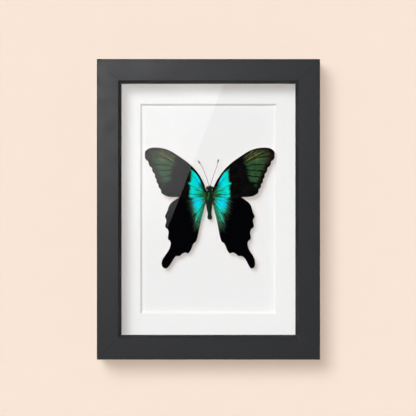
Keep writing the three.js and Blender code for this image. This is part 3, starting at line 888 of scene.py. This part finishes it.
def buildWing(kind, side, outline, veins, folds, lift, finishes):
    # a flat sheet with its veins on it, measured for its markings and then bent and set in place
    s = wingShape
    bm = bmesh.new()
    bm.faces.new([bm.verts.new((point[0], 0, point[1])) for point in outline])
    cutIntoGrid(bm, s["grid"])
    for face in bm.faces:
        face.material_index = 2
    front = vertsOf(bmesh.ops.extrude_face_region(bm, geom=bm.faces[:]))
    for vert in front:
        vert.co.y = -s["thickness"] / 2
    for vert in set(bm.verts) - set(front):
        vert.co.y = s["thickness"] / 2
    for face in bm.faces:
        if any(vert.co.y < 0 for vert in face.verts):
            face.material_index = 0
    sheetCount = len(bm.verts)
    for vein in veins:
        course = [Vector((point[0], 0, point[1])) for point in smoothLine(vein, 4 * len(vein))]
        last = len(course) - 1
        radii = [s["veinRadius"] * (1 - s["veinTaper"] * i / last) for i in range(last + 1)]
        addTube(bm, course, radii, 6, 1)
    bm.verts.ensure_lookup_table()
    places = np.array([(vert.co.x, vert.co.z) for vert in bm.verts])
    fromRoot = places - s["root"]
    spotDepth = ringDepth(places, spotRing) - s["spotInset"]
    fields = {
        "marginDepth": ringDepth(places, outline),
        "bandDepth": ringDepth(places, bandRings[kind]),
        "costaDepth": ringDepth(places, costalRing),
        "blueDepth": ringDepth(places, blueRings[kind]),
        "patchDepth": np.maximum(ringDepth(places, patchRing), spotDepth),
        "foldDistance": np.min([lineDistance(places, fold) for fold in folds], axis=0),
        "veinDistance": np.min([lineDistance(places, vein) for vein in veins], axis=0),
        "rootAngle": np.arctan2(fromRoot[:, 1], fromRoot[:, 0]),
        "rootReach": np.hypot(fromRoot[:, 1], fromRoot[:, 0]),
        "wingX": places[:, 0],
        "wingZ": places[:, 1],
    }
    thin = s["edgeThin"] + (1 - s["edgeThin"]) * np.clip(fields["marginDepth"] / s["edgeReach"], 0, 1)
    furrow = s["fold"] * np.clip(s["foldReach"] - fields["foldDistance"], 0, s["foldReach"])
    furrow *= np.clip(places[:, 0] / 10 - 0.3, 0, 1)
    for i, vert in enumerate(bm.verts):
        x, z = vert.co.x, vert.co.z
        if side < 0 and kind == "hindwing":
            # the left hindwing is set further out, and its tail is broader
            begin, full = s["tailFrom"]
            broader = s["tailSpread"] * min(max((begin - z) / (begin - full), 0), 1)
            x += (s["lean"] * (s["leanFrom"] - z) + s["tuck"] * max(0, 1 - x / s["tuckReach"])
                  + broader * (x - s["tailMiddle"]))
        if side > 0 and kind == "forewing":
            x -= s["rootTuck"] * max(0, 1 - x / s["rootTuckReach"])
        y = vert.co.y * (thin[i] if i < sheetCount else 1)
        vert.co = Vector((side * x, y - sheetRise(x, z) + furrow[i] - lift, z)) * mm + specimenPlace
    name = kind + ("Right" if side > 0 else "Left")
    replaced = kind + ("_right" if side > 0 else "_left")
    piece = finishPiece(name, bm, finishes, [replaced], 50)
    for field, values in fields.items():
        attribute = piece.data.attributes.new(field, "FLOAT", "POINT")
        attribute.data.foreach_set("value", values.astype(np.float32))


# the colours of the scales and the veins, and how large and glossy the scales are
scales = {
    "black": (0.0007, 0.0007, 0.0013, 1),
    # the two sheen colours are paler black scales, partly a painted sheen
    "forewingSheen": (0.0150, 0.0148, 0.0125, 1),
    "hindwingSheen": (0.0018, 0.0024, 0.0042, 1),
    "turquoise": (0.002, 0.80, 0.64, 1),
    "cyan": (0.002, 0.80, 0.78, 1),
    "blue": (0.003, 0.70, 1.0, 1),
    "skyBlue": (0.002, 0.72, 0.86, 1),
    "teal": (0.022, 0.60, 0.42, 1),
    "leaf": (0.024, 0.36, 0.090, 1),
    "moss": (0.024, 0.145, 0.066, 1),
    "patch": (0.037, 0.108, 0.041, 1),
    "olive": (0.170, 0.200, 0.068, 1),
    "brown": (0.044, 0.019, 0.014, 1),
    "veinBlue": (0.002, 0.13, 0.12, 1),
    "veinGreen": (0.004, 0.010, 0.004, 1),
    "veinDark": (0.0008, 0.0010, 0.0012, 1),
    "veinPale": (0.0035, 0.0042, 0.004, 1),
    "smoke": (0.050, 0.110, 0.062, 1),
    "seaGreen": (0.014, 0.42, 0.22, 1),
    "russet": (0.150, 0.105, 0.052, 1),
    "umber": (0.055, 0.060, 0.028, 1),
    "under": (0.19, 0.095, 0.062, 1),
    "underDust": (0.34, 0.22, 0.16, 1),
    "scaleSize": 0.16,
    "scaleStretch": (1, 0.25, 0.62),
    "scaleRelief": 0.35,
    "roughness": 0.62,
    "specular": 0.0,
}


def scaleGrain(tree):
    # two random numbers and one small dome for each scale of the wing
    place = objectPlace(tree, scales["scaleStretch"])
    settings = {"Vector": place, "Scale": 1 / (scales["scaleSize"] * mm), "Randomness": 0.9}
    cell = addNode(tree, "TexVoronoi", settings, "Color")
    dome = addNode(tree, "TexVoronoi", settings, "Distance")
    grain = addNode(tree, "SeparateColor", {0: cell}, "Red")
    tint = addNode(tree, "SeparateColor", {0: cell}, "Green")
    return {"grain": grain, "tint": tint, "dome": dome}


def dusted(tree, grain, density, under, over):
    # scales of the second colour lie on the first as densely as asked
    chosen = rise(tree, maths(tree, "SUBTRACT", density, grain), 0.0, 0.06)
    return blend(tree, chosen, under, over)


def streaks(tree, across, along, detail=3.0):
    # streaks that run out from the wing's root
    angle = maths(tree, "MULTIPLY", attributeOf(tree, "rootAngle"), across)
    reach = maths(tree, "MULTIPLY", attributeOf(tree, "rootReach"), along)
    place = addNode(tree, "CombineXYZ", {0: angle, 1: reach, 2: 0.0})
    return noiseOf(tree, place, 1.0, detail, 0.6)


def wingSockets(tree):
    # the distances that a wing's mesh carries, in millimetres, and the noises that break up its colours
    names = {"margin": "marginDepth", "band": "bandDepth", "costa": "costaDepth", "blue": "blueDepth",
             "patch": "patchDepth", "fold": "foldDistance", "vein": "veinDistance", "reach": "rootReach",
             "x": "wingX", "z": "wingZ"}
    made = {name: attributeOf(tree, attribute) for name, attribute in names.items()}
    made["fine"] = rise(tree, streaks(tree, 40, 0.10, 4.0), 0.34, 0.66)
    made["broad"] = rise(tree, streaks(tree, 17, 0.07, 2.0), 0.38, 0.62)
    made["coarse"] = rise(tree, streaks(tree, 9, 0.12, 2.0), 0.40, 0.60)
    for gaps, streak in (("gaps", "fine"), ("wideGaps", "broad"), ("rootGaps", "coarse")):
        made[gaps] = maths(tree, "SUBTRACT", 1.0, made[streak])
    made["cloud"] = noiseOf(tree, objectPlace(tree), 260, 3)
    made.update(scaleGrain(tree))
    return made


def thinned(tree, density, gaps, share):
    # fewer scales in the gaps between the streaks
    return product(tree, density, maths(tree, "SUBTRACT", 1.0, product(tree, gaps, share)))


def forewingTone(tree, at, ground):
    colours = scales
    jagged = shifted(tree, at["band"], at["fine"], 1.3)
    inBand = maths(tree, "MINIMUM", rise(tree, jagged, -0.5, 0.55), rise(tree, at["costa"], -0.4, 0.4))
    # blue beside the costa, cyan and turquoise inside, green at the outer edge, the tip and the root
    colour = blend(tree, at["broad"], colours["turquoise"], colours["cyan"])
    colour = blend(tree, rise(tree, at["blue"], -2.2, 0.8, 0.0, 0.8), colour, colours["blue"])
    colour = blend(tree, rise(tree, jagged, 1.0, -0.1, 0.0, 0.9), colour, colours["leaf"])
    colour = blend(tree, rise(tree, at["z"], 17.0, 20.0, 0.0, 0.8), colour, colours["leaf"])
    fromRoot = shifted(tree, at["reach"], at["coarse"], 5.0)
    colour = blend(tree, rise(tree, fromRoot, 9.6, 6.2), colour, colours["leaf"])
    alongCosta = product(tree, rise(tree, shifted(tree, at["costa"], at["cloud"], 3.0), 2.4, 0.4),
                         rise(tree, at["reach"], 13, 8.5))
    colour = blend(tree, product(tree, alongCosta, 0.9), colour, colours["leaf"])
    innermost = rise(tree, shifted(tree, at["reach"], at["broad"], 2.0), 4.0, 3.0, 0.0, 0.8)
    colour = blend(tree, innermost, colour, colours["russet"])
    density = product(tree, inBand, rise(tree, fromRoot, 1.5, 7.5, 0.72, 1.0))
    density = thinned(tree, density, at["gaps"], rise(tree, at["reach"], 13, 6, 0.08, 0.5))
    density = thinned(tree, density, at["rootGaps"], rise(tree, at["reach"], 9.5, 5.5, 0.0, 0.4))
    density = thinned(tree, density, alongCosta, 0.45)
    density = product(tree, density, rise(tree, at["vein"], 0.1, 0.4, 0.7, 1.0))
    tone = dusted(tree, at["grain"], density, ground, colour)
    # the green patch near the tip, ruled by dark veins and folds, olive and brown at its top
    edge = shifted(tree, at["patch"], at["cloud"], 3.6)
    ruled = product(tree, rise(tree, at["fold"], 0.1, 0.5, 0.86, 1.0),
                    rise(tree, at["vein"], 0.1, 0.75, 0.2, 1.0))
    upper = product(tree, rise(tree, shifted(tree, at["z"], at["cloud"], 4.0), 23.6, 27.4),
                    rise(tree, at["x"], 37, 30))
    green = blend(tree, upper, colours["patch"], colours["olive"])
    tipward = product(tree, rise(tree, at["x"], 31, 38), rise(tree, at["z"], 21, 27))
    green = blend(tree, product(tree, tipward, 0.62), green, colours["umber"])
    density = product(tree, rise(tree, edge, -2.0, 1.5), ruled, 0.9)
    density = thinned(tree, density, rise(tree, at["cloud"], 0.35, 0.65), 0.25)
    tone = dusted(tree, at["grain"], density, tone, green)
    # reddish brown between the patch and the margin
    border = product(tree, rise(tree, at["margin"], 0.7, 1.8), rise(tree, at["margin"], 5.5, 2.6),
                     rise(tree, at["x"], 20, 32, 0.0, 0.45), rise(tree, at["z"], 7, 15),
                     rise(tree, at["cloud"], 0.3, 0.62, 0.35, 1.0),
                     rise(tree, edge, 2.0, -0.6))
    tone = dusted(tree, at["tint"], border, tone, colours["brown"])
    trailing = product(tree, rise(tree, at["margin"], 0.45, 0.12), rise(tree, at["z"], 3.5, 1.5), 0.35)
    return blend(tree, trailing, tone, colours["brown"])


def hindwingTone(tree, at, ground):
    colours = scales
    loose = shifted(tree, maths(tree, "SUBTRACT", at["band"], 0.7), at["fine"], 2.8)
    loose = shifted(tree, loose, at["broad"], 1.4)
    fall = shifted(tree, at["z"], at["broad"], 2.0)
    # a blue field, then turquoise, teal and dark green towards the end, green along the body
    colour = blend(tree, rise(tree, shifted(tree, at["blue"], at["fine"], 1.6), -1.8, 1.0),
                   colours["turquoise"], colours["skyBlue"])
    colour = blend(tree, rise(tree, fall, -7.2, -12.5), colour, colours["teal"])
    colour = blend(tree, rise(tree, fall, -13.0, -19.0), colour, colours["moss"])
    colour = blend(tree, rise(tree, loose, 1.6, -0.8, 0.0, 0.9), colour, colours["moss"])
    fromBody = maths(tree, "SUBTRACT", maths(tree, "ADD", product(tree, at["z"], 0.27), at["x"]), 0.9)
    byBody = rise(tree, shifted(tree, shifted(tree, fromBody, at["fine"], 2.0), at["broad"], 1.4), 4.2, 1.8)
    inner = blend(tree, rise(tree, fall, -4, -9), colours["leaf"], colours["seaGreen"])
    colour = blend(tree, byBody, colour, inner)
    fade = rise(tree, shifted(tree, fall, at["fine"], 4.0), -22.5, -9.5)
    density = product(tree, rise(tree, loose, -1.8, 1.7), fade)
    density = thinned(tree, density, at["gaps"], rise(tree, fall, -5, -13, 0.06, 0.72))
    density = thinned(tree, density, at["wideGaps"], rise(tree, fall, -6, -14, 0.0, 0.3))
    density = thinned(tree, density, at["gaps"], product(tree, byBody, 0.78))
    density = thinned(tree, density, at["rootGaps"], rise(tree, at["reach"], 8, 3, 0.0, 0.7))
    density = product(tree, density, rise(tree, at["vein"], 0.1, 0.4, 0.7, 1.0))
    dust = product(tree, rise(tree, loose, -4.2, 0.8, 0.0, 0.62), rise(tree, at["z"], -27, -16))
    tone = dusted(tree, at["tint"], dust, ground, colours["smoke"])
    return dusted(tree, at["grain"], density, tone, colour)


def wingFinish(kind):
    # black scales, some of them paler with a painted sheen, with the coloured ones laid on them
    gloss = {"Specular IOR Level": scales["specular"], "Roughness": scales["roughness"]}
    material, tree, shader = newFinish(kind + "Scales", gloss)
    at = wingSockets(tree)
    ground = dusted(tree, at["grain"], rise(tree, at["cloud"], 0.3, 0.8, 0.12, 0.4), scales["black"],
                    scales[kind + "Sheen"])
    tone = (forewingTone if kind == "forewing" else hindwingTone)(tree, at, ground)
    wire(tree, shader, Base_Color=tone)
    addBump(tree, shader, at["dome"], scales["scaleRelief"])
    return material


def undersideFinish():
    # the wings' underside is brown, dusted with paler scales
    material, tree, shader = newFinish("wingUnderside", {"Roughness": 0.7, "Specular IOR Level": 0.1})
    at = scaleGrain(tree)
    paler = rise(tree, attributeOf(tree, "marginDepth"), 7, 1, 0.15, 0.6)
    tone = dusted(tree, at["grain"], paler, scales["under"], scales["underDust"])
    near = rise(tree, attributeOf(tree, "veinDistance"), 0.2, 0.6)
    wire(tree, shader, Base_Color=blend(tree, near, scales["brown"], tone))
    addBump(tree, shader, at["dome"], scales["scaleRelief"])
    return material


def veinFinish():
    # dark veins that turn blue where they cross the band and dark green in the patch
    material, tree, shader = newFinish("wingVein", {"Roughness": 0.6, "Specular IOR Level": 0.02})
    cloud = noiseOf(tree, objectPlace(tree), 900, 2)
    inBand = product(tree, rise(tree, attributeOf(tree, "bandDepth"), -0.4, 0.8),
                     rise(tree, attributeOf(tree, "costaDepth"), -0.4, 0.6),
                     rise(tree, attributeOf(tree, "wingZ"), -15, -8),
                     rise(tree, attributeOf(tree, "rootReach"), 5, 9, 0.0, 0.8))
    dark = blend(tree, cloud, scales["veinDark"], scales["veinPale"])
    tone = blend(tree, inBand, dark, scales["veinBlue"])
    inPatch = rise(tree, attributeOf(tree, "patchDepth"), 0.0, 1.5, 0.0, 0.8)
    wire(tree, shader, Base_Color=blend(tree, inPatch, tone, scales["veinGreen"]))
    return material


veinTone = veinFinish()
underTone = undersideFinish()
wings = [("hindwing", hindwingOutline, hindwingVeins, hindwingFolds, wingShape["hindwingLift"]),
         ("forewing", forewingOutline, forewingVeins, forewingFolds, wingShape["forewingLift"])]
for kind, outline, veins, folds, lift in wings:
    finishes = [wingFinish(kind), veinTone, underTone]
    for side in (1, -1):
        buildWing(kind, side, outline, veins, folds, lift, finishes)
print("wings made")


# the body, in millimetres from its axis in front of the pin; a ball has a middle and a size
insect = {
    "axisLift": 4.3,
    "thorax": ((0, 0, 0.1), (5.3, 5.6, 8.7)),
    "collar": ((0, -0.2, 3.8), (4.3, 3.4, 3.2)),
    "ruff": ((0.4, 0, 4.6), (5.6, 3.3, 2.8)),
    "rump": ((-0.1, 0, -2.6), (5.6, 4.4, 4.5)),
    "tuft": ((2.85, -0.1, -0.7), (1.7, 2.4, 4.6)),
    "shoulder": ((1.75, -1.2, 1.6), (1.7, 1.9, 3.4)),
    "head": ((0, 0, 6.5), (3.4, 3.2, 3.2)),
    "eye": ((1.6, 0.1, 6.9), (2.2, 2.4, 2.3)),
    "palp": ((0.46, 0.2, 7.6), (0.95, 1.9, 1.6)),
    "proboscis": {"radius": 0.17, "coil": 1.25, "core": 0.4, "turns": 2.2, "steps": 60,
                  "y": 1.7, "z": 6.75},
    "abdomen": {"top": -4.4, "length": 10.3, "shift": -0.42, "lean": 0.05, "rings": 9, "swell": 0.05,
                "steps": 72, "furEvery": 8, "furHeight": 2.6},
    "abdomenLine": [(1.85, 0), (1.95, 1.5), (1.63, 3.5), (1.3, 5.4), (1.28, 6.6), (1.55, 8.3), (1.5, 9.3),
                    (1.0, 9.95), (0.3, 10.25)],
    "antennaRadius": 0.14,
    "antennaSteps": 150,
    "clubRadius": 0.44,
    "clubLength": 2.8,
    "legRadius": 0.24,
    "legPairs": [(2.2, 1.0), (0.2, 0.8), (-1.8, 1.1)],
    "chitinColours": ((0.0012, 0.002, 0.0015, 1), (0.005, 0.010, 0.006, 1)),
    "chitinDust": (0.005, 0.066, 0.025, 1),
    "eyeColours": ((0.003, 0.005, 0.003, 1), (0.014, 0.018, 0.013, 1)),
    "antennaColours": ((0.004, 0.004, 0.004, 1), (0.016, 0.015, 0.014, 1)),
}
antennaCourses = {
    "Left": [(-0.4, -1.4, 8.1), (-2.5, -2.2, 14.6), (-5.1, -2.6, 20.8), (-7.8, -2.4, 25.2)],
    "Right": [(0.4, -1.4, 8.1), (2.1, -2.2, 14), (4.5, -2.6, 20.7), (5.9, -2.4, 26.2)],
}
fur = {
    "black": (0.003, 0.005, 0.003),
    "bright": (0.070, 0.720, 0.200),
    "green": (0.025, 0.260, 0.070),
    "pale": (0.300, 0.310, 0.280),
    "teal": (0.090, 0.220, 0.160),
    "brown": (0.200, 0.150, 0.085),
    "dun": (0.048, 0.045, 0.029),
    "darkGreen": (0.007, 0.040, 0.015),
    "thick": 0.05,
    "point": 0.008,
    "upright": 0.62,
    "combed": 0.75,
    "ruffled": 0.3,
    "thoraxHairs": 3200,
    "ruffHairs": 1300,
    "tuftHairs": 700,
    "headHairs": 700,
    "palpHairs": 160,
    "abdomenHairs": 1300,
}


def bodySpace(bm):
    # millimetres about the body's axis become metres in the part's frame
    bmesh.ops.translate(bm, verts=bm.verts, vec=(0, -insect["axisLift"], 0))
    placeInMetres(bm, specimenPlace)


def addBall(bm, ball, side=1, around=32, along=22):
    (x, y, z), size = ball
    place = Matrix.Translation((side * x, y, z)) @ Matrix.Diagonal((*size, 1))
    bmesh.ops.create_uvsphere(bm, u_segments=around, v_segments=along, radius=0.5, matrix=place)


def bothSides(ball):
    (x, y, z), size = ball
    return [ball, ((-x, y, z), size)]


def chitinFinish():
    material, tree, shader = newFinish("chitin", {"Specular IOR Level": 0.16})
    place = objectPlace(tree)
    cloud = noiseOf(tree, place, 1400, 3)
    dust = rise(tree, noiseOf(tree, place, 5200, 2), 0.52, 0.62, 0.0, 0.7)
    base = blend(tree, cloud, *insect["chitinColours"])
    wire(tree, shader, Base_Color=blend(tree, dust, base, insect["chitinDust"]),
         Roughness=rise(tree, cloud, 0.3, 0.7, 0.38, 0.6))
    addBump(tree, shader, noiseOf(tree, place, 7000, 3), 0.4)
    return material


def eyeFinish():
    gloss = {"Specular IOR Level": 0.6, "Roughness": 0.35, "Coat Weight": 0.3, "Coat Roughness": 0.2}
    material, tree, shader = newFinish("compoundEye", gloss)
    place = objectPlace(tree)
    facets = addNode(tree, "TexVoronoi", {"Vector": place, "Scale": 11000}, "Distance")
    shade = noiseOf(tree, place, 900, 2)
    wire(tree, shader, Base_Color=blend(tree, shade, *insect["eyeColours"]))
    addBump(tree, shader, facets, 0.6)
    return material


def furFinish():
    material, tree, shader = newFinish("bodyFur", {"Roughness": 0.6, "Specular IOR Level": 0.06})
    wire(tree, shader, Base_Color=attributeOf(tree, "furTint", "Color"))
    return material


def furTint(x, z):
    # a green streak down the back, brown and teal tufts at the wing roots, pale hair by the eyes
    wide = abs(x)
    draw = random.random()
    streak = -0.4 - 0.12 * max(3.2 - z, 0) ** 1.9
    if 4.9 < z < 6.2 and 1.3 < wide < 2.6:
        name = "pale" if draw < 0.4 else "black"
    elif z > 4.3:
        name = "dun" if draw < 0.25 else "darkGreen" if draw < 0.5 else "black"
    elif wide > 2.2 and 0.8 < z < 2.4:
        name = "brown" if draw < 0.75 else "black"
    elif wide > 2.5 and -1.6 < z <= 0.2:
        name = "teal" if draw < 0.5 else "black"
    elif wide > 1.6 and -4.3 < z < -1.6:
        name = "brown" if draw < 0.25 else "dun" if draw < 0.6 else "darkGreen"
    elif -11 < z < -4.3 and -1.3 < x < 0 and draw < 0.7:
        name = "green"
    elif z < -4.3:
        name = "darkGreen" if -11.5 < z and draw < 0.4 else "black"
    elif abs(x - streak) < 0.4 and 0 < z:
        name = "bright" if draw < 0.85 else "green"
    # left of the middle greener, right of it darker: painted light and shade from the lamps on the left
    elif x < -0.1:
        name = "green" if draw < 0.15 else "darkGreen" if draw < 0.5 else "black"
    elif x > 1.1:
        name = "dun" if draw < 0.6 else "black"
    else:
        name = "darkGreen" if draw < 0.4 else "black"
    shade = 0.7 + 0.6 * random.random()
    return tuple(value * shade for value in fur[name]) + (1,)


def growFur(name, balls, hairs, length, flow):
    # short tapered hairs on the balls' outer surface, combed along the flow
    bm = bmesh.new()
    tints = []
    areas = [size[0] * size[2] for place, size in balls]
    while len(tints) < hairs:
        place, size = random.choices(balls, areas)[0]
        way = Vector([random.gauss(0, 1) for axis in range(3)]).normalized()
        root = Vector(place) + Vector([way[k] * size[k] / 2 for k in range(3)])
        hidden = any(sum(((root[k] - other[k]) / spread[k] * 2) ** 2 for k in range(3)) < 0.93
                     for other, spread in balls if other != place)
        if hidden:
            continue
        normal = Vector([way[k] / size[k] for k in range(3)]).normalized()
        jitter = Vector([random.uniform(-fur["ruffled"], fur["ruffled"]) for axis in range(3)])
        run = (normal * fur["upright"] + Vector(flow) * fur["combed"] + jitter).normalized()
        long = length * random.uniform(0.55, 1.15)
        turn = run.to_track_quat("Z", "Y").to_matrix().to_4x4()
        bmesh.ops.create_cone(bm, cap_ends=True, segments=3, radius1=fur["thick"] / 2, radius2=fur["point"],
                              depth=long, matrix=Matrix.Translation(root + run * long * 0.46) @ turn)
        tints.append(furTint(root.x, root.z))
    bodySpace(bm)
    piece = finishPiece(name, bm, [furTone], sharpFrom=80)
    colours = piece.data.attributes.new("furTint", "FLOAT_COLOR", "POINT")
    perHair = len(piece.data.vertices) // len(tints)
    colours.data.foreach_set("color", np.repeat(np.array(tints, np.float32), perHair, axis=0).ravel())


def buildThorax():
    # overlapping balls, with the shoulder pads and the tufts at the wing roots on both sides
    bm = bmesh.new()
    addBall(bm, insect["thorax"], 1, 40, 30)
    addBall(bm, insect["collar"])
    addBall(bm, insect["rump"])
    for side in (-1, 1):
        addBall(bm, insect["shoulder"], side)
        addBall(bm, insect["tuft"], side)
    bodySpace(bm)
    finishPiece("thoraxShell", bm, [chitinTone], ["thorax"], 60)
    balls = [insect["thorax"], insect["collar"], insect["rump"], *bothSides(insect["shoulder"])]
    growFur("thoraxFur", balls, fur["thoraxHairs"], 1.15, (0, 0, -1))
    growFur("neckRuff", [insect["ruff"]], fur["ruffHairs"], 1.2, (0, -0.1, -0.25))
    growFur("wingRootTufts", bothSides(insect["tuft"]), fur["tuftHairs"], 1.1, (0, -0.2, -0.8))


def buildLegs():
    # six legs folded under the thorax, each thinner from joint to joint
    bm = bmesh.new()
    under = insect["thorax"][1][1] / 2
    for side in (-1, 1):
        for z, reach in insect["legPairs"]:
            course = smoothLine([
                (side * 0.9, under - 0.7, z), (side * 1.6, under + 0.15, z + 0.5 * reach),
                (side * 2.5, under + 0.5, z + 1.5 * reach), (side * 1.9, under + 0.9, z + 0.2 * reach),
                (side * 1.3, under + 1, z - 1.6 * reach)], 20)
            thickness = [1.0] * 9 + [0.72] * 6 + [0.45] * 6
            addTube(bm, course, [insect["legRadius"] * share for share in thickness])
    bodySpace(bm)
    finishPiece("legs", bm, [chitinTone], sharpFrom=50)


def buildHead():
    bm = bmesh.new()
    addBall(bm, insect["head"])
    bodySpace(bm)
    finishPiece("headCapsule", bm, [chitinTone], ["head"], 60)
    eyes = bmesh.new()
    palps = bmesh.new()
    for side in (-1, 1):
        addBall(eyes, insect["eye"], side, 40, 28)
        addBall(palps, insect["palp"], side, 20, 14)
    bodySpace(eyes)
    bodySpace(palps)
    finishPiece("compoundEyes", eyes, [eyeFinish()], sharpFrom=60)
    finishPiece("labialPalps", palps, [chitinTone], sharpFrom=60)
    growFur("headFur", [insect["head"]], fur["headHairs"], 0.7, (0, -0.3, 0.35))
    growFur("palpFur", bothSides(insect["palp"]), fur["palpHairs"], 0.5, (0, -0.4, 0.8))


def buildProboscis():
    # a flat coil under the head that thins towards its middle
    p = insect["proboscis"]
    steps = p["steps"]
    course = []
    radii = []
    for i in range(steps + 1):
        turn = i / steps * p["turns"] * 2 * math.pi
        reach = p["coil"] + (p["core"] - p["coil"]) * i / steps
        course.append(Vector((p["radius"] * (i / steps - 0.5), p["y"] + reach * math.cos(turn),
                              p["z"] + reach * math.sin(turn))))
        radii.append(p["radius"] * (1 - 0.4 * i / steps))
    bm = bmesh.new()
    addTube(bm, course, radii)
    bodySpace(bm)
    finishPiece("proboscis", bm, [chitinTone], sharpFrom=60)


def buildAbdomen():
    # a profile with a swelling for each ring, spun and leant a little to one side
    a = insect["abdomen"]
    steps = a["steps"]
    profile = smoothLine(insect["abdomenLine"], steps)
    bm = bmesh.new()
    line = [bm.verts.new((0.001, 0, 0))]
    for i, (radius, down) in enumerate(profile):
        ring = abs(math.sin(math.pi * a["rings"] * i / steps))
        swollen = radius * (1 - a["swell"] + a["swell"] * 1.6 * ring ** 0.6)
        line.append(bm.verts.new((swollen, 0, -down)))
    line.append(bm.verts.new((0.001, 0, -a["length"])))
    spinClosed(bm, line, (0, 0, 1), 36)
    bmesh.ops.remove_doubles(bm, verts=bm.verts, dist=0.002)
    bmesh.ops.rotate(bm, verts=bm.verts, matrix=Matrix.Rotation(-a["lean"], 3, "Y"))
    bmesh.ops.translate(bm, verts=bm.verts, vec=(a["shift"], 0, a["top"]))
    bodySpace(bm)
    finishPiece("abdomenShell", bm, [chitinTone], ["abdomen"], 60)
    # the hair sits on a row of overlapping balls that follow the profile
    balls = []
    every = a["furEvery"]
    for radius, down in profile[every:steps - every:every]:
        place = (a["shift"] + math.tan(a["lean"]) * down, 0, a["top"] - down)
        height = min(a["furHeight"], 2 * (a["length"] - 0.4 - down))
        balls.append((place, (2 * radius, 2 * radius, height)))
    growFur("abdomenFur", balls, fur["abdomenHairs"], 0.4, (0, 0, -1.4))


def buildAntenna(side, course):
    # a thin shaft of many joints that swells into a club
    end = Vector(course[-1])
    run = (end - Vector(course[-2])).normalized()
    steps = insect["antennaSteps"]
    path = smoothLine(course, steps) + [end + run * 0.2, end + run * 0.4]
    radii = []
    for i, place in enumerate(path):
        share = max(1 - (path[-1] - place).length / insect["clubLength"], 0)
        swell = math.sin(math.pi * min(share, 0.999) ** 0.8) ** 0.7 if share > 0 else 0
        shaft = insect["antennaRadius"] * (1 - 0.25 * i / steps) * (1.06 if i % 2 else 0.94)
        radii.append(max(shaft * (1 - share), insect["clubRadius"] * swell, 0.03))
    bm = bmesh.new()
    addTube(bm, path, radii, 10)
    bodySpace(bm)
    finishPiece("antenna" + side, bm, [antennaTone], ["antenna_" + side.lower()], 60)


def buildPin():
    radius = metal["pinRadius"] * mm
    place = Matrix.Translation(centreOf("mounting_pin")) @ Matrix.Rotation(math.pi / 2, 4, "X")
    bm = bmesh.new()
    bmesh.ops.create_cone(bm, cap_ends=True, segments=24, radius1=radius, radius2=radius,
                          depth=pinHigh.y - pinLow.y, matrix=place)
    softenEdges(bm, metal["pinEdge"] * mm)
    pinSteel = steelFinish("pinSteel", metal["pin"], metal["pinRough"], (4000, 300, 4000))
    finishPiece("mountingPin", bm, [pinSteel], ["mounting_pin"])


def antennaFinish():
    material, tree, shader = newFinish("antennaHorn", {"Roughness": 0.5, "Specular IOR Level": 0.3})
    cloud = noiseOf(tree, objectPlace(tree), 1800, 2)
    wire(tree, shader, Base_Color=blend(tree, cloud, *insect["antennaColours"]))
    return material


chitinTone = chitinFinish()
furTone = furFinish()
antennaTone = antennaFinish()
buildThorax()
buildLegs()
buildHead()
buildProboscis()
buildAbdomen()
for side, course in antennaCourses.items():
    buildAntenna(side, course)
buildPin()
print("body made")
